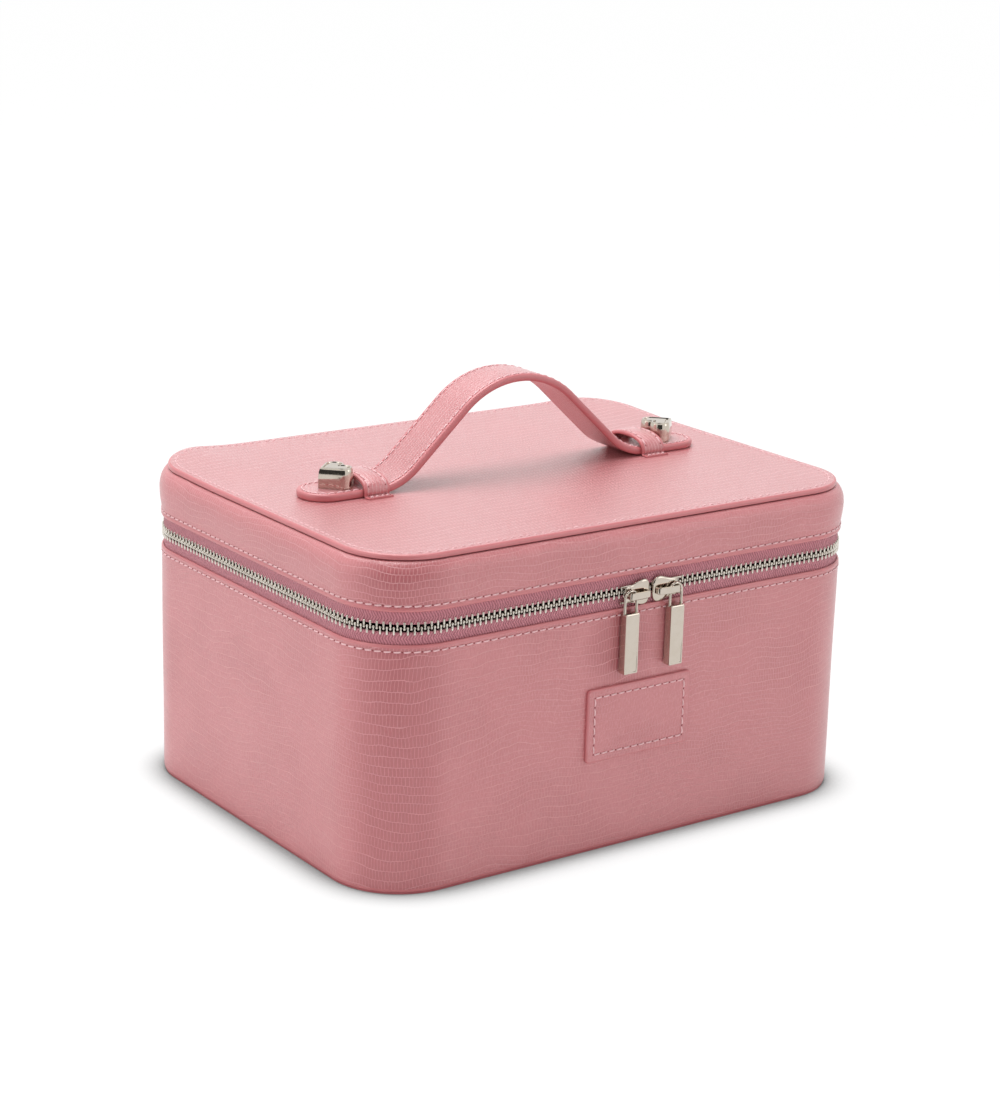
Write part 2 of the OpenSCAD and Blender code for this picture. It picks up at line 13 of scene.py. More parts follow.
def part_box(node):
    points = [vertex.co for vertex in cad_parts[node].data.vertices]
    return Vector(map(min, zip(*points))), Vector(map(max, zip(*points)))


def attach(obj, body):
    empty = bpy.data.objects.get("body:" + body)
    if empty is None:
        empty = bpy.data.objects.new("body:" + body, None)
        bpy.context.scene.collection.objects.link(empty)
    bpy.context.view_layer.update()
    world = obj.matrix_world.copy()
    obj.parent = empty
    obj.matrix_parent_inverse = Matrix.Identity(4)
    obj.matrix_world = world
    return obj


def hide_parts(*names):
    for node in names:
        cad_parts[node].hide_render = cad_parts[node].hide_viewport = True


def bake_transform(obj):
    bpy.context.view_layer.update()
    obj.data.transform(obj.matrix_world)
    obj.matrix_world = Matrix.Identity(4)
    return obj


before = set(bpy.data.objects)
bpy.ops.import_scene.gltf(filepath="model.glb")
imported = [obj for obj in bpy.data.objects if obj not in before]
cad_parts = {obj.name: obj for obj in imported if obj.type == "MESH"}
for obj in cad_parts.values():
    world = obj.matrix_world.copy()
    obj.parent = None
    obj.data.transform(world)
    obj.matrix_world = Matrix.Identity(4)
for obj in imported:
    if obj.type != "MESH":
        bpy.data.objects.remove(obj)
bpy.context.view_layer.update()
MM = 0.001


def box(node):
    """The lowest and the highest corner of a CAD node, in millimetres."""
    return [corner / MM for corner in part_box(node)]


# ---------- sizes that come from the frame ----------

WALL_LOW, WALL_HIGH = box("body_side_cover")
LID_LOW, LID_SEAM = box("lid_side_cover")
PANEL_HIGH = box("lid_top_cover")[1]
TAPE_HIGH = box("lower_zip_tape")[1]
TAB_LOW, TAB_HIGH = box("right_tab")
LOOP_LOW, LOOP_HIGH = box("right_loop")
STUD_LOW, STUD_HIGH = box("right_stud")
PATCH_LOW, PATCH_HIGH = box("front_patch")
SLIDER_LOW, SLIDER_HIGH = box("right_slider")
BRIDGE_LOW, BRIDGE_HIGH = box("right_slider_bridge")
PULL_LOW, PULL_HIGH = box("right_pull")

HALF_LENGTH, HALF_DEPTH, BODY_TOP = WALL_HIGH
LID_BOTTOM = LID_LOW.z
SEAM_Z = LID_SEAM.z
LID_TOP = PANEL_HIGH.z
SHOULDER_Z = box("lid_top_board")[1].z
PANEL_INSET = HALF_LENGTH - PANEL_HIGH.x
TAPE_INSET = HALF_LENGTH - TAPE_HIGH.x
ZIP_Z = (box("lower_zip_teeth")[0].z + box("upper_zip_teeth")[1].z) / 2

# ---------- driving sizes ----------

CORNER = 32
LEAST_CORNER = 4
TAPE_THICK = 0.6
LINING_THICK = 0.8
TOOTH_PITCH = 2.7
STITCH_PITCH = 4
THREAD = 0.31
STITCH_SUNK = 0.09

STRAP_HALF = TAB_HIGH.y
STRAP_THICK = TAB_HIGH.z - TAB_LOW.z
ARCH_RADIUS = 40
ARCH_SLOPE = math.radians(42.5)
SLOPE_LENGTH = 33.7
FOOT_RADIUS = 32
TAB_TIP = TAB_HIGH.x
FOOT_X = TAB_LOW.x
ARCH_HEIGHT = box("handle_grip")[1].z - STRAP_THICK - LID_TOP

# Steps along each straight run and round each corner of the case's outline
STEPS_X = 26
STEPS_Y = 36
STEPS_CORNER = 18

UP = Vector((0, 0, 1))
QUARTER = math.pi / 2


# ---------- colours and shader nodes ----------

def rgb(red, green, blue):
    """A colour given as it looks on a screen, 0 to 255, as the linear colour that a shader takes."""
    def linear(v):
        v /= 255
        return v / 12.92 if v <= 0.04045 else ((v + 0.055) / 1.055) ** 2.4
    return (linear(red), linear(green), linear(blue), 1.0)


PINK = rgb(203, 118, 122)
# PINK_LIGHT is the fibres' paler tone and also the default painted sheen on the scales' lines; PINK_PALE is
# only such a painted sheen
PINK_LIGHT = rgb(228, 164, 166)
# PINK_DEEP, besides the pores' and blotches' deeper tone, is the painted dark reflection on the scales' faces
PINK_DEEP = rgb(176, 84, 90)
PINK_PALE = rgb(246, 200, 202)
EDGE_PINK = rgb(201, 112, 116)
EDGE_LIGHT = rgb(212, 132, 136)
TAPE_PINK = rgb(222, 150, 160)
# TAPE_SHADE is painted shade in the zip tape's low weave
TAPE_SHADE = rgb(160, 88, 100)
THREAD_PINK = rgb(250, 214, 216)
THREAD_SHADE = rgb(236, 186, 190)
HOLE_RED = rgb(70, 20, 28)
# Painted shade for the crease tucked under the lid panel's rim
CREASE_SHADE_RED = rgb(116, 44, 50)
CREASE_SHADE_LIGHT = rgb(136, 62, 68)
NICKEL = rgb(200, 190, 178)
NICKEL_WARM = rgb(194, 183, 169)
NICKEL_PALE = rgb(220, 214, 204)
LINING_PINK = rgb(226, 184, 188)
# LINING_SHADE_AND_TONE is painted shade in the lining's low weave and its uneven tone
LINING_SHADE_AND_TONE = rgb(206, 156, 162)
KRAFT = rgb(176, 148, 116)
KRAFT_DARK = rgb(138, 110, 82)
FOAM = rgb(236, 230, 214)
FOAM_DARK = rgb(206, 198, 176)
STEEL = rgb(168, 168, 170)
CARD_GREY = rgb(30, 28, 28)
FLOOR_WHITE = (0.92, 0.92, 0.92, 1.0)
WHITE = (1.0, 1.0, 1.0, 1.0)


class Tree:
    """Short way to build the shader nodes of a material or world. Lengths are in millimetres."""

    def __init__(self, owner):
        owner.use_nodes = True
        self.owner = owner
        self.nodes = owner.node_tree.nodes
        self.links = owner.node_tree.links

    def node(self, kind, inputs=None, output=0, **settings):
        """A new node with these inputs, each a value or another node's output; gives back one output."""
        made = self.nodes.new("ShaderNode" + kind)
        for key, value in settings.items():
            setattr(made, key, value)
        for key, value in (inputs or {}).items():
            self.put(made.inputs[key], value)
        return made.outputs[output]

    def put(self, socket, value):
        if isinstance(value, bpy.types.NodeSocket):
            self.links.new(value, socket)
        else:
            socket.default_value = value

    def math(self, operation, a, b=0.0, c=0.0):
        return self.node("Math", {0: a, 1: b, 2: c}, operation=operation)

    def times(self, a, b):
        return self.math("MULTIPLY", a, b)

    def line(self, value, slope, start):
        """value times slope plus start."""
        return self.math("MULTIPLY_ADD", value, slope, start)

    def larger(self, a, b):
        return self.math("MAXIMUM", a, b)

    def wave(self, value, length):
        return self.math("SINE", self.times(value, 2 * math.pi / length))

    def scaled(self, vector, x, y, z=1.0):
        return self.node("VectorMath", {0: vector, 1: (x, y, z)}, operation="MULTIPLY")

    def moved(self, vector, other):
        return self.node("VectorMath", {0: vector, 1: other}, operation="ADD")

    def split(self, vector):
        """The first two parts of a vector."""
        parts = self.node("SeparateXYZ", {0: vector}).node
        return parts.outputs[0], parts.outputs[1]

    def noise(self, vector, scale, detail=2.0, rough=0.5, output="Fac"):
        inputs = {"Vector": vector, "Scale": scale, "Detail": detail, "Roughness": rough}
        return self.node("TexNoise", inputs, output)

    def drift(self, vector, scale, detail, rough, reach):
        """A shift of the map that changes from place to place, up to half of reach each way."""
        colour = self.noise(vector, scale, detail, rough, "Color")
        return self.scaled(self.moved(colour, (-0.5, -0.5, -0.5)), *reach)

    def bricks(self, vector, width, height, gap):
        """1 in the soft gaps between the bricks of a wall, 0 on the bricks."""
        inputs = {"Vector": vector, "Scale": 1.0, "Mortar Size": gap, "Mortar Smooth": 1.0,
                  "Brick Width": width, "Row Height": height}
        return self.node("TexBrick", inputs, "Fac")

    def step(self, value, low, high):
        inputs = {"Value": value, "From Min": low, "From Max": high}
        return self.node("MapRange", inputs, interpolation_type="SMOOTHSTEP")

    def mix(self, share, a, b):
        return self.node("Mix", {0: share, 6: a, 7: b}, 2, data_type="RGBA")

    def tint(self, colour, other, value, low, high, share):
        """The colour, mixed with up to this share of the other one where value goes from low to high."""
        return self.mix(self.times(self.step(value, low, high), share), colour, other)

    def grain_map(self):
        """Coordinates along and across the piece."""
        return self.scaled(self.node("UVMap", uv_map="grain"), 1000, 1000)

    def place_map(self):
        """Coordinates in the object's own space."""
        return self.scaled(self.node("TexCoord", output="Object"), 1000, 1000, 1000)

    def bump(self, height, depth, strength):
        shader = self.nodes["Principled BSDF"]
        normal = self.node("Bump", {"Height": height, "Distance": depth * MM, "Strength": strength})
        self.put(shader.inputs["Normal"], normal)
        self.put(shader.inputs["Coat Normal"], normal)

    def finish(self, colour, roughness, **plain):
        shader = self.nodes["Principled BSDF"]
        self.put(shader.inputs["Base Color"], colour)
        self.put(shader.inputs["Roughness"], roughness)
        for key, value in plain.items():
            shader.inputs[key.replace("_", " ")].default_value = value
        return self.owner

    def seen(self):
        """1 for rays from the camera and for rays that mirror or pass through something, 0 for light."""
        path = self.node("LightPath").node
        shown = self.larger(path.outputs["Is Camera Ray"], path.outputs["Is Glossy Ray"])
        return self.larger(shown, path.outputs["Is Transmission Ray"])


def material_tree(name):
    return Tree(bpy.data.materials.new(name))


# ---------- materials ----------

LONG_BRICK = 4000.0


def lizard(name, cell, row, drift=(14.0, 24.0), cells_seen=(0.44, 0.62), rows_seen=(0.30, 0.55),
           row_sheen=0.6, cell_sheen=0.36, depth=0.15, pebble=0.9, line=PINK_LIGHT, coat=0.32,
           dark_reflection_at=None, dark_reflection_spot=None, half_rows=0.0):
    """Embossed imitation leather: rows of narrow upright scales between thin lines that wander.

    cell and row are a scale's width and height. The scales' sides only show in patches, round the length
    dark_reflection_at and round the place dark_reflection_spot; a fine pebble, as strong as pebble says,
    shows between.
    The lines are painted light in the colour line, as strongly as cell_sheen and row_sheen say: a painted
    sheen of the pale surroundings on their tilted sides. The scales' faces are painted a little darker, more
    so in the patches
    and much more round those two places: a painted dark reflection.
    coat is the share of the clear finish, which gives the pale haze. half_rows is how strongly a fainter
    line shows halfway between two rows, away from the dark_reflection places.
    """
    t = material_tree(name)
    at = t.grain_map()
    slow = t.drift(at, 0.011, 1.0, 0.4, drift)
    medium = t.drift(at, 0.05, 1.5, 0.5, (2.0, 6.5))
    quick = t.drift(at, 0.3, 1.0, 0.5, (0.5, 0.5))
    warped = t.moved(t.moved(t.moved(at, slow), medium), quick)
    scales = t.bricks(warped, cell, row, cell * 0.13)
    lines = t.bricks(warped, LONG_BRICK, row, 0.2)
    patches = t.step(t.noise(at, 0.024, 1.0), *cells_seen)
    dark_reflection = 0.0
    if dark_reflection_at is not None:
        away = t.math("ABSOLUTE", t.math("SUBTRACT", t.split(at)[0], dark_reflection_at))
        dark_reflection = t.step(away, 26.0, 9.0)
        patches = t.larger(patches, dark_reflection)
    if dark_reflection_spot is not None:
        from_spot = t.node("VectorMath", {0: at, 1: dark_reflection_spot}, 1, operation="DISTANCE")
        spot = t.step(from_spot, 24.0, 8.0)
        dark_reflection = t.larger(dark_reflection, spot)
        patches = t.larger(patches, spot)
    in_patches = t.line(patches, 0.75, 0.25)
    broken = t.line(t.step(t.noise(warped, 0.07, 1.0), *rows_seen), 0.85, 0.15)
    cells = t.times(scales, in_patches)
    rows = t.times(lines, broken)
    if half_rows:
        fine = t.bricks(warped, LONG_BRICK, row / 2, 0.17)
        seen = t.step(t.noise(warped, 0.045, 1.0), 0.3, 0.55)
        seen = t.times(seen, t.line(dark_reflection, -half_rows, half_rows))
        rows = t.larger(rows, t.times(fine, seen))
    mask = t.larger(cells, rows)
    fibres = t.noise(t.scaled(warped, 1.0, 0.3), 2.1, 2.0, 0.65)
    pores = t.noise(at, 3.4, 2.0, 0.6)
    pebbles = t.noise(t.scaled(at, 1.0, 0.8), 1.15, 1.5, 0.55)
    cloud = t.noise(at, 0.035, 2.0, 0.5)
    colour = t.tint(PINK, PINK_DEEP, cloud, 0.35, 0.75, 0.1)
    colour = t.tint(colour, PINK_LIGHT, fibres, 0.45, 0.7, 0.36)
    colour = t.tint(colour, PINK_DEEP, pores, 0.48, 0.75, 0.3)
    # Painted dark reflection: the scales' faces darken a little, more in the patches and most round the
    # corner and the pull
    painted_dark_share = t.line(dark_reflection, 0.6, t.times(in_patches, 0.14))
    painted_dark_faces = t.times(t.math("SUBTRACT", 1.0, scales), painted_dark_share)
    colour = t.mix(painted_dark_faces, colour, PINK_DEEP)
    # Painted sheen: the lines between the scales and between the rows are lightened with the colour line
    colour = t.mix(t.times(cells, cell_sheen), colour, line)
    colour = t.mix(t.times(rows, row_sheen), colour, line)
    height = t.line(mask, -0.9, 1.0)
    for grain, share in ((fibres, 0.8), (pores, 0.5), (pebbles, pebble)):
        height = t.line(grain, share, height)
    t.bump(height, depth, 0.7)
    rough = t.line(mask, 0.16, t.line(pores, 0.12, 0.26))
    return t.finish(colour, rough, Specular_IOR_Level=0.95, Coat_Weight=coat, Coat_Roughness=0.28)


def smooth_leather(name, base, light):
    """Plain imitation leather with fine pores, as on painted and turned edges."""
    t = material_tree(name)
    at = t.place_map()
    pores = t.noise(at, 1.9, 2.0, 0.6)
    worn = t.noise(at, 0.07, 2.0, 0.5)
    colour = t.tint(base, light, worn, 0.4, 0.75, 0.3)
    colour = t.tint(colour, light, pores, 0.5, 0.85, 0.25)
    t.bump(pores, 0.04, 0.4)
    return t.finish(colour, t.line(pores, 0.12, 0.3), Specular_IOR_Level=0.8, Coat_Weight=0.25,
                    Coat_Roughness=0.25)


def woven_tape():
    """Zip tape: fine slanted ribs whose slant turns over in bands, with single threads across them."""
    t = material_tree("zip_tape_weave")
    at = t.grain_map()
    along, across = t.split(at)
    bands = t.math("PINGPONG", across, 2.4)
    slant = t.line(bands, 0.55, along)
    slant = t.line(t.noise(at, 0.7, 1.0), 0.9, slant)
    ribs = t.wave(slant, 1.25)
    threads = t.wave(across, 0.5)
    fuzz = t.noise(at, 5.0, 2.0, 0.6)
    height = t.line(fuzz, 2.6, t.line(threads, 0.4, ribs))
    # Darker where the weave lies low: painted shade between the ribs and threads, with the fuzz's uneven tone
    colour = t.mix(t.step(height, -0.6, 3.0), TAPE_SHADE, TAPE_PINK)
    t.bump(height, 0.1, 0.8)
    return t.finish(colour, 0.8, Specular_IOR_Level=0.25, Sheen_Weight=0.25, Sheen_Roughness=0.5)


def cloth_lining():
    """Thin woven lining."""
    t = material_tree("lining_weave")
    at = t.grain_map()
    along, across = t.split(at)
    weave = t.times(t.wave(along, 0.5), t.wave(across, 0.5))
    uneven = t.noise(at, 0.05, 4.0, 0.6)
    # Darker in the weave's low parts: painted shade
    colour = t.mix(t.step(weave, -0.8, 0.9), LINING_SHADE_AND_TONE, LINING_PINK)
    # Uneven tone at random, in the same darker colour
    colour = t.tint(colour, LINING_SHADE_AND_TONE, uneven, 0.35, 0.75, 0.25)
    t.bump(t.line(uneven, 0.6, weave), 0.05, 0.5)
    return t.finish(colour, 0.62, Specular_IOR_Level=0.3, Sheen_Weight=0.3, Sheen_Roughness=0.4)


def twisted_thread():
    """Sewing thread: two plies that turn round each other."""
    t = material_tree("thread_twist")
    along, across = t.split(t.grain_map())
    plies = t.wave(t.line(across, 0.55, along), 0.55)
    colour = t.mix(t.step(plies, -0.9, 0.5), THREAD_SHADE, THREAD_PINK)
    t.bump(plies, 0.04, 0.6)
    return t.finish(colour, 0.6, Specular_IOR_Level=0.2, Sheen_Weight=0.3, Sheen_Roughness=0.4)


def plated(name, base, warm, low, high):
    """Polished plating with faint uneven polish, from low to high roughness, and fine handling marks."""
    t = material_tree(name)
    at = t.place_map()
    cloud = t.noise(at, 0.22, 3.0, 0.55)
    marks = t.noise(t.scaled(at, 1.0, 1.0, 7.0), 1.3, 2.0, 0.7)
    colour = t.tint(base, warm, cloud, 0.35, 0.7, 0.5)
    rough = t.line(t.step(cloud, 0.3, 0.75), high - low, low)
    rough = t.line(t.step(marks, 0.62, 0.85), 0.06, rough)
    t.bump(cloud, 0.01, 0.05)
    return t.finish(colour, rough, Metallic=1.0)


def fibrous(name, base, dark, scale, rough):
    """Pulp board or foam: matt, with speckled fibres or cells."""
    t = material_tree(name)
    at = t.place_map()
    fibres = t.noise(t.scaled(at, 1.0, 1.0, 3.0), scale, 4.0, 0.7)
    flecks = t.noise(at, scale * 0.3, 3.0, 0.6)
    colour = t.mix(t.step(fibres, 0.35, 0.7), base, dark)
    colour = t.tint(colour, dark, flecks, 0.55, 0.8, 0.4)
    t.bump(fibres, 0.12, 0.6)
    return t.finish(colour, rough, Specular_IOR_Level=0.2)


def needle_hole():
    """Shadowed leather inside a needle hole."""
    t = material_tree("needle_hole_dark")
    speck = t.noise(t.place_map(), 4.0, 1.0)
    return t.finish(t.mix(speck, HOLE_RED, PINK_DEEP), 0.9, Specular_IOR_Level=0.1)


# Lengths along the front, from its middle, and the place, where the scales stand out and their faces are
# painted darker: a painted dark reflection at the front corner and beside the left pull
CORNER_MIDDLE = 6 - (HALF_LENGTH - CORNER) - CORNER * QUARTER / 2
BY_THE_PULL = (sum(corner.x for corner in box("left_pull")) / 2 - 3, 90.0, 0.0)

LEATHER = lizard("leather_wall", 1.5, 4.1, dark_reflection_at=CORNER_MIDDLE, dark_reflection_spot=BY_THE_PULL, half_rows=0.7)
LEATHER_LID = lizard("leather_lid_side", 1.6, 3.0, drift=(12.0, 14.0), dark_reflection_at=CORNER_MIDDLE)
LEATHER_TOP = lizard("leather_top", 1.7, 4.0, drift=(16.0, 20.0), cells_seen=(0.3, 0.5),
                     rows_seen=(0.05, 0.4), row_sheen=0.9, cell_sheen=0.5, depth=0.3, pebble=1.3,
                     line=PINK_PALE, coat=0.9)
LEATHER_PATCH = lizard("leather_patch", 1.5, 4.1, rows_seen=(0.6, 0.8), row_sheen=0.3)
LEATHER_STRAP = lizard("leather_strap", 1.7, 1.9, drift=(8.0, 5.0), rows_seen=(0.15, 0.4), row_sheen=0.85,
                       depth=0.24, line=PINK_PALE, coat=0.85)
LEATHER_EDGE = smooth_leather("leather_edge_smooth", EDGE_PINK, EDGE_LIGHT)
LEATHER_BASE = smooth_leather("leather_base", PINK_DEEP, EDGE_PINK)
# Painted shade: the dark strip in the crease under the lid panel's rim
LEATHER_CREASE_SHADE = smooth_leather("leather_crease_painted_shade", CREASE_SHADE_RED, CREASE_SHADE_LIGHT)
TAPE_WEAVE = woven_tape()
LINING_WEAVE = cloth_lining()
THREAD_TWIST = twisted_thread()
HOLE_DARK = needle_hole()
NICKEL_BRIGHT = plated("nickel_bright", NICKEL, NICKEL_WARM, 0.05, 0.12)
NICKEL_TEETH = plated("nickel_teeth", NICKEL_PALE, NICKEL, 0.1, 0.22)
SCREW_STEEL = plated("screw_steel", STEEL, NICKEL_WARM, 0.2, 0.35)
BOARD_FIBRE = fibrous("board_fibre", KRAFT, KRAFT_DARK, 1.4, 0.85)
FOAM_CELLS = fibrous("foam_cells", FOAM, FOAM_DARK, 3.0, 0.95)


# ---------- mesh helpers ----------

def make_piece(name, shell, body, materials, face_slots=None, weld_at=0.0, crisp=0.0, replaced=()):
    """A mesh object that rides on a body, made of a shell: (vertices, faces, map pairs of each face).

    Points nearer than weld_at are joined, edges sharper than crisp degrees stay sharp, and the piece takes
    the place of the CAD nodes named in replaced.
    """
    verts, faces, coords = shell
    mesh = bpy.data.meshes.new(name)
    mesh.from_pydata([tuple(v * MM) for v in verts], [], faces)
    for material in materials:
        mesh.materials.append(material)
    layer = mesh.uv_layers.new(name="grain")
    layer.data.foreach_set("uv", [value * MM for pairs in coords for pair in pairs for value in pair])
    if face_slots:
        mesh.polygons.foreach_set("material_index", face_slots)
    mesh.polygons.foreach_set("use_smooth", [True] * len(faces))
    mesh.update()
    made = bpy.data.objects.new(name, mesh)
    bpy.context.scene.collection.objects.link(made)
    if body:
        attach(made, body)
    if weld_at:
        weld(mesh, weld_at * MM)
    if crisp:
        mesh.set_sharp_from_angle(angle=math.radians(crisp))
    if replaced:
        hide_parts(*replaced)
    return made


def weld(mesh, distance):
    """Joins points that lie on each other, as where a ring shrinks to a line, and turns faces outwards."""
    bm = bmesh.new()
    bm.from_mesh(mesh)
    bmesh.ops.remove_doubles(bm, verts=bm.verts, dist=distance)
    bmesh.ops.dissolve_degenerate(bm, edges=bm.edges, dist=distance)
    bmesh.ops.recalc_face_normals(bm, faces=bm.faces)
    bm.to_mesh(mesh)
    bm.free()


def tube_faces(rings, sides, base=0):
    """Faces round a stack of closed rings of points, and one over each end."""
    faces = []
    for i in range(rings - 1):
        low, high = base + i * sides, base + (i + 1) * sides
        for j in range(sides):
            k = (j + 1) % sides
            faces.append((low + j, low + k, high + k, high + j))
    last = base + (rings - 1) * sides
    return faces + [tuple(range(base + sides - 1, base - 1, -1)), tuple(range(last, last + sides))]


def mapped(verts, faces, pairs=None):
    """The shell of these faces, with a map pair for each vertex; without pairs the map holds x and z."""
    pairs = pairs or [(v.x, v.z) for v in verts]
    return verts, faces, [[pairs[v] for v in face] for face in faces]


def joined(shells):
    """Several shells as one."""
    verts, faces, coords = [], [], []
    for v, f, c in shells:
        base = len(verts)
        verts += v
        faces += [tuple(base + i for i in face) for face in f]
        coords += c
    return verts, faces, coords


def rounded(points, rounds=2, closed=False):
    """A list of points with its corners cut off again and again, which gives a smooth bend."""
    points = [Vector(p) for p in points]
    for _ in range(rounds):
        cut = [] if closed else [points[0]]
        for a, b in zip(points, points[1:] + points[:1] if closed else points[1:]):
            cut += [a.lerp(b, 0.25), a.lerp(b, 0.75)]
        if not closed:
            cut.append(points[-1])
        points = cut
    return points


def tangents(path):
    """The direction of a path at each of its points."""
    ends = zip([path[0]] + path[:-1], path[1:] + [path[-1]])
    return [(after - before).normalized() for before, after in ends]


def even(a, b, count):
    """a, b and the places between them that part the way into count equal steps."""
    return [a + (b - a) * i / count for i in range(count + 1)]


def spread(a, b, pitch):
    """Even places from a to b, about pitch apart."""
    return even(a, b, max(round(abs(b - a) / pitch), 1))


def arc(a, b, radius, start, end, steps, radius_b=None):
    """Points of an arc round (a, b) from one angle to the other, with its own radius along b if given."""
    return [(a + radius * math.cos(angle), b + (radius_b or radius) * math.sin(angle))
            for angle in even(start, end, steps)]


def circle(sides):
    """Points of a circle with radius 1."""
    return arc(0, 0, 1, 0, 4 * QUARTER, sides)[:-1]


def fade(value, low, high):
    """0 below low, 1 above high, and smooth between them."""
    t = min(max((value - low) / (high - low), 0.0), 1.0)
    return t * t * (3 - 2 * t)


def swell(x, y, z, size, seed):
    """Slow unevenness of hand-made work: the same at every run, between -1 and 1."""
    return noise.noise(Vector((x / size, y / size, z / size + seed)))


# ---------- the case's outline ----------

def outline_runs(inset, measured=0.0):
    """The outline moved in by inset, as its runs and its radius: (length, angles, centres) of start and end.

    Lengths are those along the outline moved in by measured.
    """
    radius = min(max(CORNER - inset, LEAST_CORNER), HALF_DEPTH - inset)
    cx = HALF_LENGTH - inset - radius
    cy = HALF_DEPTH - inset - radius
    x_run = HALF_LENGTH - CORNER
    y_run = 2 * (HALF_DEPTH - CORNER)
    bend = (CORNER - measured) * QUARTER
    runs = [
        (x_run, -90, -90, (0, -cy), (cx, -cy)),
        (bend, -90, 0, (cx, -cy), (cx, -cy)),
        (y_run, 0, 0, (cx, -cy), (cx, cy)),
        (bend, 0, 90, (cx, cy), (cx, cy)),
        (2 * x_run, 90, 90, (cx, cy), (-cx, cy)),
        (bend, 90, 180, (-cx, cy), (-cx, cy)),
        (y_run, 180, 180, (-cx, cy), (-cx, -cy)),
        (bend, 180, 270, (-cx, -cy), (-cx, -cy)),
        (x_run, 270, 270, (-cx, -cy), (0, -cy)),
    ]
    return runs, radius


def perimeter(measured=0.0):
    return sum(run[0] for run in outline_runs(0, measured)[0])


def on_outline(s, inset=0.0, measured=0.0):
    """Point and outward direction at length s from the middle of the front, on the outline moved in by inset.

    The length is taken along the outline moved in by measured.
    """
    s %= perimeter(measured)
    runs, radius = outline_runs(inset, measured)
    for length, a0, a1, p0, p1 in runs:
        if s <= length:
            break
        s -= length
    share = min(s / length, 1.0)
    angle = math.radians(a0 + (a1 - a0) * share)
    out = Vector((math.cos(angle), math.sin(angle), 0))
    centre = Vector((*p0, 0)).lerp(Vector((*p1, 0)), share)
    return centre + radius * out, out


RUN_LENGTHS = [run[0] for run in outline_runs(0)[0]]
RUN_STEPS = [STEPS_X, STEPS_CORNER, STEPS_Y, STEPS_CORNER, 2 * STEPS_X,
             STEPS_CORNER, STEPS_Y, STEPS_CORNER, STEPS_X]
PERIMETER = perimeter()


def outline_stations():
    """Path lengths all round, closer together at the corners, with the start at the middle of the back."""
    made, start = [], 0.0
    for length, steps in zip(RUN_LENGTHS, RUN_STEPS):
        made += [start + length * i / steps for i in range(steps)]
        start += length
    half = PERIMETER / 2
    return sorted((s + half) % PERIMETER - half for s in made)


STATIONS = outline_stations()

# The zip ends part of the way round the back corners
ZIP_END_ANGLE = math.asin((TAPE_HIGH.y - (HALF_DEPTH - CORNER)) / (CORNER - TAPE_INSET))
ZIP_END = sum(RUN_LENGTHS[:3]) + CORNER * ZIP_END_ANGLE


def carried(name, profile, body, materials, replaced, stations=None, ripple=None, flat_map=False,
            profile_slots=None, skipped=None, weld_at=0.0):
    """A closed profile of (outward, height) points carried along the outline.

    The map holds the path length and the length along the profile, or x and y with flat_map.
    With stations the piece is open and its ends are closed off; without, it goes all round. The span of
    the profile that starts at the skipped point gets no faces.
    """
    closed = stations is None
    stations = stations or STATIONS
    count = len(profile)
    lengths = [0.0]
    for a, b in zip(profile, profile[1:] + profile[:1]):
        lengths.append(lengths[-1] + math.hypot(b[0] - a[0], b[1] - a[1]))
    verts = []
    for s in stations:
        for out, z in profile:
            point, normal = on_outline(s, max(-out, 0.0))
            point = point + normal * max(out, 0.0)
            point.z = z
            if ripple:
                point = point + ripple(point, normal, out)
            verts.append(point)
    faces, coords, slots = [], [], []
    ends = list(zip(stations, stations[1:] + [PERIMETER / 2]))
    for i, (s0, s1) in enumerate(ends if closed else ends[:-1]):
        k = (i + 1) % len(stations)
        for j in range(count):
            if j == skipped:
                continue
            m = (j + 1) % count
            face = (i * count + j, k * count + j, k * count + m, i * count + m)
            faces.append(face)
            a, b = lengths[j], lengths[j + 1]
            coords.append([verts[v].xy for v in face] if flat_map else [(s0, a), (s1, a), (s1, b), (s0, b)])
            slots.append(profile_slots[j] if profile_slots else 0)
    if not closed:
        last = (len(stations) - 1) * count
        for cap in (tuple(range(count - 1, -1, -1)), tuple(range(last, last + count))):
            faces.append(cap)
            coords.append([(verts[v].x, verts[v].z) for v in cap])
            slots.append(0)
    return make_piece(name, (verts, faces, coords), body, materials, slots, weld_at, 0.0, [replaced])


def groove(z):
    """Profile points, upwards, of the shallow channel that a row of stitches pulls into a wall."""
    return [(0, z - 0.8), (-0.12, z - 0.28), (-0.12, z + 0.28), (0, z + 0.8)]


# ---------- covers ----------

COVER = 1
BODY_ROW_Z = BODY_TOP - 2.9
LID_ROW_Z = LID_BOTTOM + 2.55
PANEL_ROW_INSET = PANEL_INSET + 3.4
LID_BULGE = 0.8
SHOULDER_DROP = 4
FLAT_WELD = 0.001
PATCH_MIDDLE = (PATCH_LOW + PATCH_HIGH) / 2


def wall_ripple(point, normal, out):
    """The wall's slight unevenness, none of it at the base, under the patch or at the stitched edge."""
    at_edges = fade(point.z, 3, 25) * fade(BODY_TOP - point.z, 5, 22)
    from_patch = max(abs(point.x - PATCH_MIDDLE.x) - 30, abs(point.z - PATCH_MIDDLE.z) - 19)
    clear = 1.0 if point.y > 0 else fade(from_patch, 0.0, 14)
    return normal * (0.3 * at_edges * clear * swell(*point, 46, 3.1))


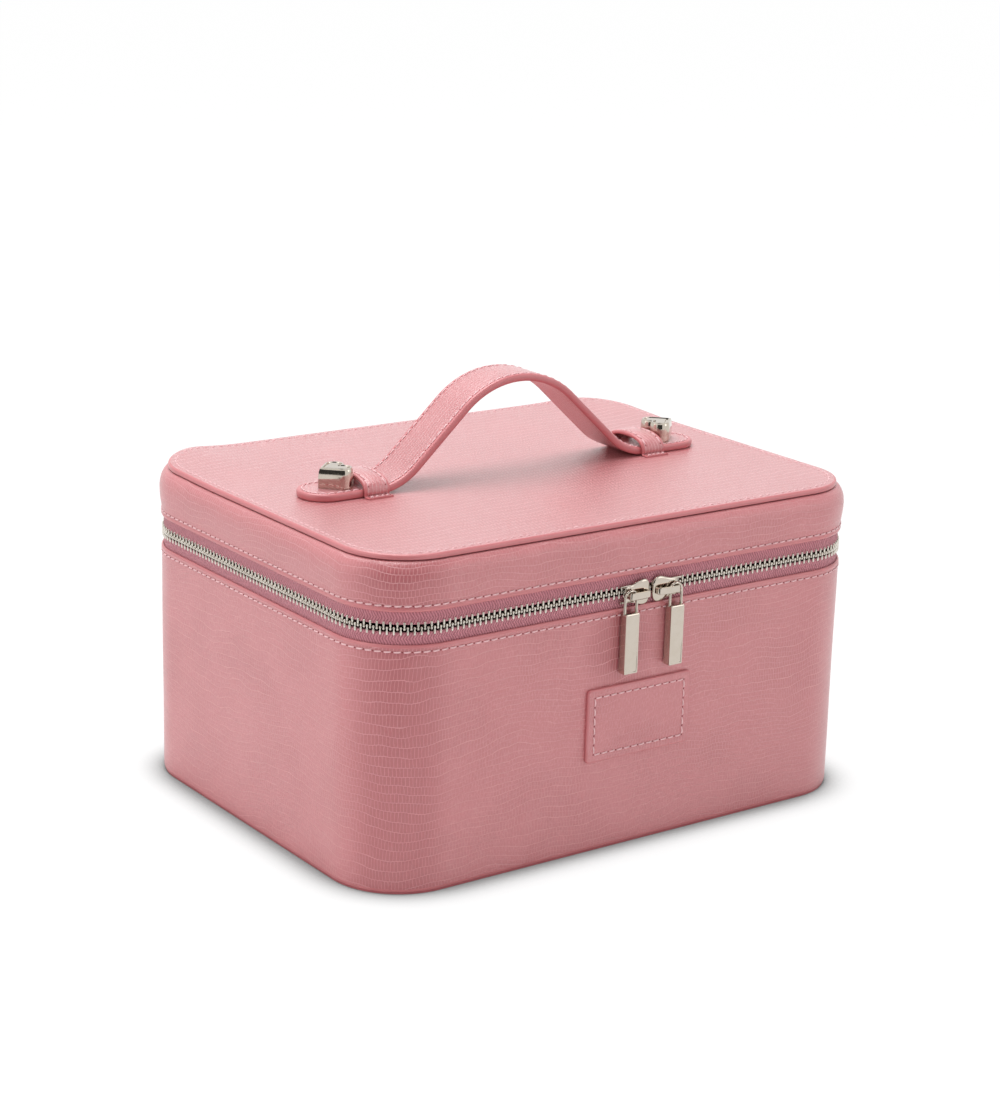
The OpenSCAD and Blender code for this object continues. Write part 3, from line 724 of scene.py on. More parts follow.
def body_cover():
    foot = WALL_LOW.z
    profile = [(-COVER, foot), (-0.45, foot), (-0.12, foot + 0.35), (0, foot + 1.2)]
    profile += [(0, z) for z in even(foot + 4, BODY_ROW_Z - 4, 12)]
    profile += groove(BODY_ROW_Z)
    lip = len(profile)
    profile += [(0.16, BODY_TOP - 1.3), (0.12, BODY_TOP - 0.7), (-0.12, BODY_TOP - 0.18), (-0.5, BODY_TOP),
                (-0.85, BODY_TOP - 0.15), (-COVER, BODY_TOP - 0.6)]
    slots = [int(i < 3 or i >= lip) for i in range(len(profile))]
    carried("body_cover", profile, "case_body", [LEATHER, LEATHER_EDGE], "body_side_cover",
            ripple=wall_ripple, profile_slots=slots)


def lid_lift(x, y):
    """How far the padded lid's back edge stands up: a little all along, more at two places."""
    bumps = 0.8 + 1.3 * math.exp(-((x - 116) / 17) ** 2) + 1.3 * math.exp(-((x + 106) / 14) ** 2)
    return bumps * fade(y, 30, 92)


def lid_ripple(point, normal, out):
    """The lid's side: its rounded shoulder follows the lifted back edge."""
    return UP * (lid_lift(point.x, point.y) * fade(point.z, SHOULDER_Z - 6, SEAM_Z - 1))


def lid_cover():
    shoulder = SEAM_Z - SHOULDER_Z
    flange = shoulder + 6
    first, last = LID_ROW_Z + 1.6, SHOULDER_Z - SHOULDER_DROP
    profile = [(-COVER, LID_BOTTOM + 0.6), (-0.85, LID_BOTTOM + 0.15), (-0.5, LID_BOTTOM),
               (-0.12, LID_BOTTOM + 0.18), (0.14, LID_BOTTOM + 0.7), (0.16, LID_BOTTOM + 1.2)]
    profile += groove(LID_ROW_Z)
    profile += [(LID_BULGE * math.sin(QUARTER * i / 5), first + (last - first) * i / 5) for i in range(5)]
    profile += arc(-shoulder, last, shoulder + LID_BULGE, 0, QUARTER, 12, shoulder + SHOULDER_DROP)
    profile += [(-flange, SEAM_Z), (-flange, SEAM_Z - COVER), (-shoulder, SEAM_Z - COVER)]
    profile += arc(-shoulder, SHOULDER_Z, shoulder - COVER, QUARTER, 0, 4)
    slots = [int(j < 6) for j in range(len(profile))]
    carried("lid_side_leather", profile, "lid", [LEATHER_LID, LEATHER_EDGE], "lid_side_cover",
            ripple=lid_ripple, profile_slots=slots)


def top_ripple(point, normal, out):
    """The lid's soft, slightly uneven top, level where the strap's tabs and loops lie."""
    lift = lid_lift(point.x, point.y)
    if out > -10.5 or point.z < LID_TOP - 0.9:
        return UP * lift
    under_strap = 1.0
    if abs(point.y) < 26 and abs(point.x) > 52:
        under_strap = max(fade(abs(point.y), 17, 26), 1 - fade(abs(point.x), 52, 62))
    uneven = swell(point.x, point.y, 0, 55, 7.7) - 0.35
    return UP * (lift + 0.42 * fade(-out, 10, 26) * under_strap * uneven)


def panel_rings():
    """(inset, height) of the top panel's skin, from under its turned edge over the rim to the middle."""
    top, edge, row = LID_TOP, PANEL_INSET, PANEL_ROW_INSET
    rings = [(edge + 1, SEAM_Z), (edge + 0.3, SEAM_Z), (edge + 0.08, SEAM_Z + 0.48), (edge, SEAM_Z + 0.9),
             (edge + 0.06, SEAM_Z + 1.5), (edge + 0.25, top - 0.45), (edge + 0.6, top - 0.16),
             (edge + 1.1, top - 0.03), (edge + 1.9, top),
             (row - 0.9, top), (row - 0.3, top - 0.04), (row + 0.3, top - 0.04), (row + 0.9, top)]
    inset = row + 2.6
    while inset < HALF_DEPTH - 1:
        rings.append((inset, top))
        inset += 3
    return rings + [(HALF_DEPTH, top)]


def lid_panel():
    rings = panel_rings()
    under = LID_TOP - COVER
    profile = [(-inset, z) for inset, z in rings]
    profile += [(-HALF_DEPTH, under), (-30, under), (-PANEL_INSET - 1, under)]
    # The face tucked under the rim takes the painted shade, the rim's faces the smooth edge leather
    slots = [2 if j == 1 else int(1 < j < 7) for j in range(len(profile))]
    carried("lid_top_leather", profile, "lid", [LEATHER_TOP, LEATHER_EDGE, LEATHER_CREASE_SHADE],
            "lid_top_cover", ripple=top_ripple, flat_map=True, profile_slots=slots, skipped=len(rings) - 1,
            weld_at=FLAT_WELD)


# ---------- linings ----------

HEM_OUTER = 1.75
HEM_RISE = 0.45


def flat_lining(name, body, replaced):
    """A thin layer with the case's outline and softened edges."""
    low, high = box(replaced)
    edge = HALF_LENGTH - high.x
    soft = 0.15
    profile = [(-edge - soft, low.z), (-edge, low.z + soft), (-edge, high.z - soft), (-edge - soft, high.z),
               (-edge - 20, high.z), (-edge - 50, high.z), (-HALF_DEPTH, high.z),
               (-HALF_DEPTH, low.z), (-edge - 50, low.z), (-edge - 20, low.z)]
    carried(name, profile, body, [LINING_WEAVE], replaced, flat_map=True, skipped=6,
            weld_at=FLAT_WELD)


def wall_lining(name, body, replaced, board_edge, turn):
    """A wall's lining with its hem turned over the board's free edge, upwards (turn 1) or downwards (-1)."""
    low, high = box(replaced)
    outer = HALF_LENGTH + low.x
    inner = outer + LINING_THICK
    start = low.z if turn > 0 else high.z
    tip = board_edge + turn * HEM_RISE
    profile = [(-outer, start), (-outer, board_edge), (-HEM_OUTER - 0.5, board_edge),
               (-HEM_OUTER, board_edge + turn * 0.1), (-HEM_OUTER - 0.15, tip - turn * 0.12),
               (-HEM_OUTER - 0.5, tip), (-inner + 0.5, tip), (-inner + 0.12, tip - turn * 0.15),
               (-inner, tip - turn * 0.5)]
    profile += [(-inner, z) for z in even(tip, start, 6)[1:]]
    carried(name, profile[::turn], body, [LINING_WEAVE], replaced)


# ---------- tapes and hinge strip ----------

def tape(name, body, replaced, turn):
    """A zip tape with the thick cord edge that carries its teeth, at its top (turn -1) or its foot (1)."""
    low, high = box(replaced)
    outer, inner = TAPE_INSET, TAPE_INSET + TAPE_THICK
    edge, sewn = (high.z, low.z) if turn < 0 else (low.z, high.z)
    cord = 0.22
    profile = [(-inner, sewn), (-outer, sewn)]
    profile += [(-outer, z) for z in even(sewn, edge + turn * 1.4, 5)[1:]]
    profile += [(-outer + cord, edge + turn * 1.0), (-outer + cord, edge + turn * 0.35), (-outer, edge),
                (-inner, edge), (-inner - cord, edge + turn * 0.35), (-inner - cord, edge + turn * 1.0),
                (-inner, edge + turn * 1.4)]
    stations = [-ZIP_END] + [s for s in STATIONS if abs(s) < ZIP_END - 1] + [ZIP_END]
    carried(name, profile[::-turn], body, [TAPE_WEAVE], replaced, stations=stations)


def hinge_strip():
    """The flexible strip behind, between the body's edge and the lid's."""
    low, high = box("back_hinge_strip")
    end = ZIP_END + 0.35
    after = [s for s in (t % PERIMETER for t in STATIONS) if end + 1 < s < PERIMETER - end - 1]
    stations = [end] + sorted(after) + [PERIMETER - end]
    up = even(low.z, high.z, 18)
    profile = [(-TAPE_INSET, z) for z in up] + [(-TAPE_INSET - TAPE_THICK, z) for z in reversed(up)]
    piece = carried("hinge_strip_leather", profile, None, [LEATHER], "back_hinge_strip",
                    stations=stations)
    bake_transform(piece)


# ---------- zip ----------

TAPE_MIDDLE = TAPE_INSET + TAPE_THICK / 2
# Half of a tooth's outline, (along, away from the zip's middle), and its steps to the back, (depth, bevel)
TOOTH_SIDE = ((-0.36, 2.8), (-0.48, 2.66), (-0.50, 0.95), (-0.34, 0.66), (-0.34, 0.40), (-0.48, 0.14),
              (-0.54, -0.15), (-0.48, -0.5), (-0.30, -0.78))
TOOTH_OUTLINE = TOOTH_SIDE + tuple((-x, z) for x, z in reversed(TOOTH_SIDE))
TOOTH_DEPTHS = ((-1.1, 0.3), (-1.0, 0.12), (-0.8, 0.0), (0.6, 0.0), (0.84, 0.07), (1.0, 0.19), (1.08, 0.31))
ZIP_STOP = 3.8
TEETH_REACH = (RUN_LENGTHS[0] + RUN_LENGTHS[2] - ZIP_STOP - 2 * TOOTH_PITCH
               + (CORNER - TAPE_MIDDLE) * (QUARTER + ZIP_END_ANGLE))
FINE_WELD = 0.0001


def teeth(name, body, sign, replaced):
    """A row of teeth above (sign 1) or below (-1) the zip's middle, each between two of the other row."""
    count = int(TEETH_REACH / TOOTH_PITCH)
    numbers = [i + 0.5 for i in range(-count, count)] if sign > 0 else range(-count, count + 1)
    verts, faces = [], []
    for number in numbers:
        middle, out = on_outline(number * TOOTH_PITCH, TAPE_MIDDLE, TAPE_MIDDLE)
        along = Vector((-out.y, out.x, 0))
        faces += tube_faces(len(TOOTH_DEPTHS), len(TOOTH_OUTLINE), len(verts))
        for depth, bevel in TOOTH_DEPTHS:
            for a, z in TOOTH_OUTLINE:
                z_in = z - bevel if z > 1 else z + bevel if z < -0.5 else z
                point = middle + along * (a - math.copysign(bevel, a)) + out * depth
                point.z = ZIP_Z + sign * z_in
                verts.append(point)
    shell = mapped(verts, faces, [v.xy for v in verts])
    make_piece(name, shell, body, [NICKEL_TEETH], None, FINE_WELD, 42, [replaced])


# ---------- plates: outlines built up in levels ----------

def grown(outline, inset):
    """A closed outline, anticlockwise, moved inwards by inset along its corners' mitres."""
    made = []
    for i, here in enumerate(outline):
        before, after = outline[i - 1], outline[(i + 1) % len(outline)]
        a = Vector((here[0] - before[0], here[1] - before[1])).normalized()
        b = Vector((after[0] - here[0], after[1] - here[1])).normalized()
        normal_a, normal_b = Vector((-a.y, a.x)), Vector((-b.y, b.x))
        mitre = normal_a + normal_b
        mitre = mitre / max(mitre.dot(normal_a), 0.35)
        made.append((here[0] + mitre.x * inset, here[1] + mitre.y * inset))
    return made


def plate_shell(outline_at, levels, place):
    """The shell of a closed plate: rings of an outline, at each level's (inset, height)."""
    rings = [outline_at(inset) for inset, _ in levels]
    verts = [place(a, b, height) for ring, (_, height) in zip(rings, levels) for a, b in ring]
    return mapped(verts, tube_faces(len(levels), len(rings[0])), [pair for ring in rings for pair in ring])


def rounded_box(width, height, radius, steps=5):
    """Outline of a rounded rectangle round the origin, anticlockwise."""
    made = []
    for quarter, (sx, sy) in enumerate(((1, 1), (-1, 1), (-1, -1), (1, -1))):
        made += arc(sx * (width / 2 - radius), sy * (height / 2 - radius), radius,
                    QUARTER * quarter, QUARTER * (quarter + 1), steps)
    return made


# ---------- sliders, bridges and pulls ----------

SLIDER_LENGTH = SLIDER_HIGH.x - SLIDER_LOW.x
SLIDER_Z = (SLIDER_LOW.z + SLIDER_HIGH.z) / 2
HEAD_HALF = (SLIDER_HIGH.z - SLIDER_LOW.z) / 2
TAIL_HALF = 3.8
MOUTH_LENGTH = 2.6
FLANGE_WIDTH = 0.95
PLATE_THICK = 1.3
BRIDGE_Z = (BRIDGE_LOW.z + BRIDGE_HIGH.z) / 2
BRIDGE_HALF = (BRIDGE_HIGH.z - BRIDGE_LOW.z) / 2
BRIDGE_START = BRIDGE_LOW.x - SLIDER_LOW.x
BRIDGE_END = BRIDGE_HIGH.x - SLIDER_LOW.x
BRIDGE_THICK = 1
PULL_MIDDLE = (PULL_LOW.x + PULL_HIGH.x) / 2 - SLIDER_LOW.x
RING_WIRE = 0.65
RING_RADIUS = (PULL_HIGH.x - PULL_LOW.x) / 2 - RING_WIRE
RING_Y = (PULL_LOW.y + PULL_HIGH.y) / 2
RING_Z = PULL_HIGH.z - RING_RADIUS - RING_WIRE
BAR_TOP = RING_Z - 6.3
BAR_HALF = RING_RADIUS + RING_WIRE - 0.1
WIRE_SIDES = 12


def slider_outline(inset):
    """A slider's front plate: a broad curved head at 0 that draws in to a waist and a straight tail."""
    r, t, end = HEAD_HALF, TAIL_HALF, SLIDER_LENGTH - MOUTH_LENGTH
    half = [(0, 0), (0.0, 0.40 * r), (0.10 * r, 0.76 * r), (0.34 * r, 0.97 * r), (0.72 * r, 1.0 * r),
            (1.12 * r, 0.88 * r), (1.5 * r, 0.75 * r), (1.9 * r, 0.68 * r), (0.93 * end, 0.92 * t), (end, t),
            (end, 0)]
    route = [(a, -b, 0) for a, b in half] + [(a, b, 0) for a, b in reversed(half[1:-1])]
    return grown([(p.x, p.y) for p in rounded(route, closed=True)], inset)


def flange_outline(inset):
    """One of the two rails along a slider's edges, which guide the teeth into its mouth."""
    start = 1.1 * HEAD_HALF
    length = SLIDER_LENGTH - start
    made = rounded_box(length - 2 * inset, FLANGE_WIDTH - 2 * inset, 0.35)
    return [(a + start + length / 2, b) for a, b in made]


def heading(side, name):
    """Turns a place along a slider, from its head, into X. side is +1 for the right one, -1 for the left."""
    low, high = box(name + "_slider")
    start = low.x if side > 0 else high.x
    return lambda a: start + side * a


def slider(side, name):
    x_at = heading(side, name)

    def outer(a, b, height):
        return Vector((x_at(a), SLIDER_LOW.y + PLATE_THICK - height, SLIDER_Z + b))

    def inner(a, b, height):
        return Vector((x_at(a), SLIDER_HIGH.y - PLATE_THICK + height, SLIDER_Z + b))

    dome = [(0.25, 0), (0, 0.2), (0, 0.62), (0.22, 0.95), (0.7, 1.17), (1.4, 1.28), (2.3, PLATE_THICK)]
    flat = [(0.2, 0), (0, 0.2), (0, 1.0), (0.3, PLATE_THICK)]
    rail = [(0.15, -0.3), (0, -0.15), (0, 0.75), (0.2, 0.95)]
    shells = [plate_shell(slider_outline, dome, outer), plate_shell(slider_outline, flat, inner)]
    for shift in (FLANGE_WIDTH / 2 - TAIL_HALF, TAIL_HALF - FLANGE_WIDTH / 2):
        shells.append(plate_shell(flange_outline, rail, lambda a, b, h: outer(a, b + shift, h)))
    make_piece(name + "_slider_casting", joined(shells), name + "_slider_body", [NICKEL_BRIGHT],
               None, FINE_WELD, 40, [name + "_slider"])


def bridge(side, name):
    """A flat band bent down to the slider's plate at both ends, with the pull's ring round its outer leg."""
    x_at = heading(side, name)
    high = SLIDER_LOW.y - BRIDGE_LOW.y - BRIDGE_THICK
    start, leg = BRIDGE_START, BRIDGE_END - 1.15
    route = rounded([(start + 0.9, -0.2, 0), (start + 1.0, high * 0.45, 0), (start + 1.6, high * 0.8, 0),
                     (start + 4.2, high, 0), (leg - 1.6, high, 0), (leg - 0.05, high, 0),
                     (leg, high * 0.6, 0), (leg, -0.2, 0)], 3)
    half = BRIDGE_HALF
    section = [(-half, 0.2), (-half, 0.75), (-half + 0.3, 0.98), (0, 1.0), (half - 0.3, 0.98),
               (half, 0.75), (half, 0.2), (half - 0.2, 0.0), (-half + 0.2, 0.0)]
    verts = []
    for p, t in zip(route, tangents(route)):
        out = Vector((-t.y, t.x, 0))
        narrow = 1.0 - 0.14 * fade(high - p.y, 0.4, 1.6)
        for z, share in section:
            place = p + out * (BRIDGE_THICK * share)
            verts.append(Vector((x_at(place.x), SLIDER_LOW.y - place.y, BRIDGE_Z + z * narrow)))
    make_piece(name + "_bridge_band", mapped(verts, tube_faces(len(route), len(section))),
               name + "_slider_body", [NICKEL_BRIGHT], None, FINE_WELD, 35,
               [name + "_slider_bridge"])


def wire_shell(path, radius):
    """A closed tube round a path that lies in an XZ plane."""
    across = Vector((0, 1, 0))
    verts = []
    for p, t in zip(path, tangents(path)):
        up = t.cross(across)
        verts += [p + (across * cosine + up * sine) * radius for cosine, sine in circle(WIRE_SIDES)]
    return mapped(verts, tube_faces(len(path), WIRE_SIDES))


def pull(side, name):
    x_at = heading(side, name)
    length = BAR_TOP - PULL_LOW.z
    centre = (BAR_TOP + PULL_LOW.z) / 2
    half = (PULL_HIGH.y - PULL_LOW.y) / 2
    chamfer = 0.5

    def bar(inset):
        return rounded_box(2 * (BAR_HALF - inset), length - 2 * inset, 0.55 - 0.5 * inset, 4)

    def place(a, b, height):
        return Vector((x_at(PULL_MIDDLE + a), RING_Y - height, centre + b))

    levels = [(0.3, -half), (0, -half + 0.3), (0, half - chamfer), (0.12, half - 0.2), (chamfer, half),
              (chamfer + 0.35, half), (chamfer + 0.45, half - 0.12)]
    path = [(-RING_RADIUS, BAR_TOP - 0.6)]
    path += [(-RING_RADIUS, z) for z in even(BAR_TOP, RING_Z, 4)]
    path += arc(0, RING_Z, RING_RADIUS, 2 * QUARTER, 0, 18)[1:-1]
    path += [(-x, z) for x, z in reversed(path[:6])]
    wire = wire_shell([Vector((x_at(PULL_MIDDLE + x), RING_Y, z)) for x, z in path], RING_WIRE)
    make_piece(name + "_pull_bar", joined([plate_shell(bar, levels, place), wire]), name + "_pull_body",
               [NICKEL_BRIGHT], None, FINE_WELD, 30, [name + "_pull"])


# ---------- studs, patch ----------

STUD_LOBE = (STUD_HIGH.y - STUD_LOW.y) / (2 + math.sqrt(2))
STUD_CENTRE = STUD_LOW.x + STUD_LOBE * (1 + math.sqrt(0.5))
STUD_STEPS = 26


def heart(inset):
    """A heart with its point towards +a, moved inwards by inset."""
    shift = STUD_LOBE * math.sqrt(0.5)
    radius = STUD_LOBE - inset
    notch = -shift - math.sqrt(max(radius ** 2 - shift ** 2, 0.0))
    last = math.atan2(-shift, notch + shift) % (4 * QUARTER)
    upper = arc(-shift, shift, radius, QUARTER / 2, last, STUD_STEPS)
    side = zip(even(math.sqrt(2) * radius, upper[0][0], 5), even(0.0, upper[0][1], 5))
    half = list(side)[:-1] + upper
    return half + [(a, -b) for a, b in reversed(half[1:-1])]


def stud(side, name):
    height = STUD_HIGH.z - STUD_LOW.z
    shares = ((0.04, 0.58), (0.13, 0.73), (0.28, 0.84), (0.5, 0.92), (0.74, 0.955), (0.95, 0.96),
              (1.45, 0.96), (1.6, 0.91), (2.4, 0.91), (2.6, 0.94))
    levels = [(0.1, 0), (0, 0.1), (0, height * 0.4)] + [(inset, height * share) for inset, share in shares]

    def place(a, b, h):
        return Vector((side * (STUD_CENTRE + a), b, STUD_LOW.z + h))

    make_piece(name + "_heart_stud", plate_shell(heart, levels, place), name + "_end",
               [NICKEL_BRIGHT], None, FINE_WELD, 24, [name + "_stud"])


PATCH_ROW = 3.7
PATCH_EDGE_LEVELS = 5


def patch():
    size = PATCH_HIGH - PATCH_LOW
    thick, row = size.y, PATCH_ROW

    def outline(inset):
        return rounded_box(size.x - 2 * inset, size.z - 2 * inset, max(2 - inset, 0.25))

    def place(a, b, h):
        return Vector((PATCH_MIDDLE.x + a, PATCH_HIGH.y - h, PATCH_MIDDLE.z + b))

    levels = [(0.1, 0), (0, 0.15), (0, thick - 0.75), (0.1, thick - 0.35), (0.35, thick - 0.1), (0.8, thick),
              (2.2, thick), (row - 0.6, thick - 0.03), (row - 0.25, thick - 0.12), (row + 0.25, thick - 0.12),
              (row + 0.6, thick - 0.02), (6, thick + 0.05), (9, thick + 0.12), (13, thick + 0.15)]
    shell = plate_shell(outline, levels, place)
    edge_faces = PATCH_EDGE_LEVELS * len(outline(0))
    slots = [int(i < edge_faces) for i in range(len(shell[1]))]
    make_piece("front_patch_leather", shell, "case_body", [LEATHER_PATCH, LEATHER_EDGE],
               slots, crisp=50, replaced=["front_patch"])


# ---------- strap ----------

ARC_TOP = ARCH_RADIUS * ARCH_SLOPE
FLAT_START = ARC_TOP + SLOPE_LENGTH + FOOT_RADIUS * ARCH_SLOPE
STRAP_LENGTH = FLAT_START + TAB_TIP - FOOT_X
STRAP_ROUND = STRAP_LENGTH - STRAP_HALF
STRAP_ROW = 2.1
STRAP_STEPS = 118
STRAP_BEND_STEPS = 14


def strap_frame(u):
    """Place and upward direction on the strap's underside, at length u from its middle, on the right half."""
    if u > FLAT_START:
        return Vector((FOOT_X + u - FLAT_START, 0, LID_TOP)), UP
    if u > ARC_TOP + SLOPE_LENGTH:
        angle = (FLAT_START - u) / FOOT_RADIUS
        up = Vector((math.sin(angle), 0, math.cos(angle)))
        return Vector((FOOT_X - FOOT_RADIUS * up.x, 0, LID_TOP + FOOT_RADIUS * (1 - up.z))), up
    angle = min(u, ARC_TOP) / ARCH_RADIUS
    up = Vector((math.sin(angle), 0, math.cos(angle)))
    point = Vector((ARCH_RADIUS * up.x, 0, LID_TOP + ARCH_HEIGHT - ARCH_RADIUS * (1 - up.z)))
    return point + Vector((up.z, 0, -up.x)) * max(u - ARC_TOP, 0), up


def on_strap(side, u, v, height):
    point, up = strap_frame(u)
    made = point + up * height
    return Vector((side * made.x, v, made.z))


def strap_levels():
    """(inset, height) all the way round the strap's edge, from the underside's middle to the upper side's."""
    row, t = STRAP_ROW, STRAP_THICK
    under = [(STRAP_HALF, 0), (6.5, 0), (row + 0.8, 0), (row + 0.3, 0.1), (row - 0.3, 0.1), (row - 0.8, 0),
             (0.75, 0.06), (0.25, 0.4), (0.02, 1.0)]
    over = [(inset, t - height) for inset, height in reversed(under)]
    return under + over[:-2] + [(6.5, t + 0.06), (STRAP_HALF, t + 0.1)]


def strap_half(side, name, replaced):
    levels = strap_levels()
    straight = [0.0, 0.04] + even(0, STRAP_ROUND, STRAP_STEPS)[1:]
    verts, pairs, faces, slots = [], [], [], []
    for inset, height in levels:
        half = STRAP_HALF - inset
        ring = [(u, -half) for u in straight]
        ring += arc(STRAP_ROUND, 0, half, -QUARTER, QUARTER, STRAP_BEND_STEPS)[1:-1]
        ring += [(u, half) for u in reversed(straight)]
        verts += [on_strap(side, u, v, height) for u, v in ring]
        pairs += ring
    n = len(ring)
    for level in range(len(levels) - 1):
        edge = levels[level][0] < 1.4 or levels[level + 1][0] < 1.2
        for a in range(level * n, level * n + n - 1):
            faces.append((a, a + 1, a + n + 1, a + n))
            slots.append(int(edge))
    starts = [level * n for level in range(len(levels))]
    faces.append(tuple(starts + [start + n - 1 for start in reversed(starts)]))
    slots.append(1)
    piece = make_piece(name + "_strap", mapped(verts, faces, pairs), None,
                       [LEATHER_STRAP, LEATHER_EDGE], slots, 0.002, 70, replaced)
    blend_strap(piece, side, name)


def blend_strap(piece, side, name):
    """Bakes the piece's place into its mesh."""
    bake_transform(piece)


# ---------- keeper loops ----------

LOOP_THICK = 1.7
LOOP_FOOT_THICK = 0.9
LOOP_WIDTH = LOOP_HIGH.x - LOOP_LOW.x
LOOP_INNER = STRAP_HALF + 0.4
LOOP_INNER_TOP = LOOP_HIGH.z - LID_TOP - LOOP_THICK
LOOP_ROW = 2.0


def loop_path():
    """(place, outward direction, thickness, length so far) along a loop's inner side, from foot to foot."""
    spring = 2.9
    rise = LOOP_INNER_TOP - spring
    half = [(LOOP_HIGH.y, 0), (LOOP_INNER + 2.4, 0), (LOOP_INNER + 1.0, 0.05), (LOOP_INNER + 0.1, 0.9),
            (LOOP_INNER, spring)]
    for degrees in (20, 38, 54, 68, 80):
        angle = math.radians(degrees)
        half.append((LOOP_INNER * math.cos(angle) ** 0.86, spring + rise * math.sin(angle)))
    control = half + [(0, LOOP_INNER_TOP)] + [(-y, z) for y, z in reversed(half)]
    points = rounded([(0, y, z) for y, z in control])
    made, length = [], 0.0
    for before, p, t in zip(points[:1] + points, points, tangents(points)):
        length += (p - before).length
        thick = LOOP_FOOT_THICK + (LOOP_THICK - LOOP_FOOT_THICK) * fade(p.z, 0.2, 2.6)
        made.append((p, Vector((0, t.z, -t.y)), thick, length))
    return made


def loop(side, name):
    row, w = LOOP_ROW, LOOP_WIDTH
    section = [(0.5, 0), (0.1, 0.12), (0, 0.4), (0.1, 0.75), (0.5, 0.96), (1.1, 1.02),
               (row - 0.3, 0.9), (row + 0.3, 0.9), (row + 0.9, 1.03), (w / 2, 1.1)]
    section += [(w - x, share) for x, share in reversed(section[:-1])]
    path = loop_path()
    n = len(section)
    verts, pairs = [], []
    for p, out, thick, length in path:
        for x, share in section:
            point = p + out * (thick * share)
            verts.append(Vector((side * (LOOP_LOW.x + x), point.y, LID_TOP + point.z)))
            pairs.append((length, x))
    slots = [int(j < 5 or n - 7 < j < n - 1) for j in range(n)] * (len(path) - 1) + [1, 1]
    make_piece(name + "_keeper_loop", mapped(verts, tube_faces(len(path), n), pairs), "lid",
               [LEATHER_STRAP, LEATHER_EDGE], slots, FINE_WELD, 60, [name + "_loop"])


# ---------- stitches ----------

# A stitch's cross-sections: (share of its length, width, height)
STITCH_RINGS = ((0.0, 0.30, -0.28), (0.1, 0.86, 0.0), (0.3, 1.0, 0.18), (0.5, 1.0, 0.22), (0.7, 1.0, 0.18),
                (0.9, 0.86, 0.0), (1.0, 0.30, -0.28))
STITCH_SIDES = 6
STITCH_SLANT = 0.14
STITCH_GAP = 0.85
HOLE_RINGS = ((1.0, -0.12), (1.0, 0.02), (0.55, 0.05))
HOLE_SIDES = 7
HOLE_RADIUS = 0.34


def stitch_shells(holes, thread=THREAD):
    """Raised stitches between neighbouring holes. holes is a list of (place, outward direction)."""
    verts, faces, coords = [], [], []
    for (a, normal_a), (b, normal_b) in zip(holes, holes[1:]):
        across = (b - a).cross(normal_a + normal_b).normalized()
        inwards = (b - a).normalized() * STITCH_GAP * 0.5 + across * STITCH_SLANT
        start, end = a + inwards, b - inwards
        faces += tube_faces(len(STITCH_RINGS), STITCH_SIDES, len(verts))
        for share, width, lift in STITCH_RINGS:
            normal = normal_a.lerp(normal_b, share).normalized()
            middle = start.lerp(end, share) + normal * lift
            for cosine, sine in circle(STITCH_SIDES):
                verts.append(middle + (across * cosine * 1.15 + normal * sine) * (thread * width))
        levels = [ring[0] * (end - start).length for ring in STITCH_RINGS]
        for s0, s1 in zip(levels, levels[1:]):
            for c0 in (j * thread for j in range(STITCH_SIDES)):
                coords.append([(s0, c0), (s0, c0 + thread), (s1, c0 + thread), (s1, c0)])
        coords += [[(0, 0)] * STITCH_SIDES] * 2
    return verts, faces, coords


def hole_shells(holes):
    """Small dark dimples, one at each needle hole."""
    verts, faces = [], []
    for place, normal in holes:
        side = normal.orthogonal().normalized()
        other = normal.cross(side)
        faces += tube_faces(len(HOLE_RINGS), HOLE_SIDES, len(verts))
        for radius, lift in HOLE_RINGS:
            for cosine, sine in circle(HOLE_SIDES):
                offset = side * cosine + other * sine
                verts.append(place + offset * (HOLE_RADIUS * radius) + normal * lift)
    return mapped(verts, faces, [v.xy for v in verts])


def sew(name, rows, body, thread=THREAD, dotted=True):
    """The stitches of one or more rows as one piece, and their needle holes, if dotted, as another."""
    parts = [("_thread", [stitch_shells(row, thread) for row in rows], THREAD_TWIST)]
    if dotted:
        parts.append(("_holes", [hole_shells(row) for row in rows], HOLE_DARK))
    return [make_piece(name + suffix, joined(shells), body, [material], weld_at=0.00001)
            for suffix, shells, material in parts]


def row_on_outline(inset, z, up=None, sunk=STITCH_SUNK):
    """Holes of a row that goes all round the case, closed on itself."""
    length = perimeter(inset)
    count = round(length / STITCH_PITCH)
    holes = []
    for i in range(count + 1):
        point, out = on_outline(length * (i % count) / count, inset, inset)
        normal = up or out
        point.z = z
        holes.append((point - normal * sunk, normal))
    return holes


def case_stitching():
    sew("body_edge_stitch", [row_on_outline(0, BODY_ROW_Z)], "case_body")
    sew("lid_edge_stitch", [row_on_outline(0, LID_ROW_Z)], "lid")
    panel_row = row_on_outline(PANEL_ROW_INSET, LID_TOP, UP, sunk=0.19)
    sew("lid_panel_stitch", [[(p + UP * lid_lift(p.x, p.y), up) for p, up in panel_row]], "lid",
        thread=0.25, dotted=False)


def patch_stitching():
    y = PATCH_LOW.y + STITCH_SUNK
    x0, x1 = PATCH_LOW.x + PATCH_ROW, PATCH_HIGH.x - PATCH_ROW
    z0, z1 = PATCH_LOW.z + PATCH_ROW, PATCH_HIGH.z - PATCH_ROW
    corners = [Vector(corner) for corner in ((x0, y, z0), (x1, y, z0), (x1, y, z1), (x0, y, z1), (x0, y, z0))]
    holes = []
    for a, b in zip(corners, corners[1:]):
        holes += [(a.lerp(b, share), Vector((0, -1, 0)))
                  for share in spread(0, 1, STITCH_PITCH / (b - a).length)[:-1]]
    sew("front_patch_stitch", [holes + holes[:1]], "case_body")


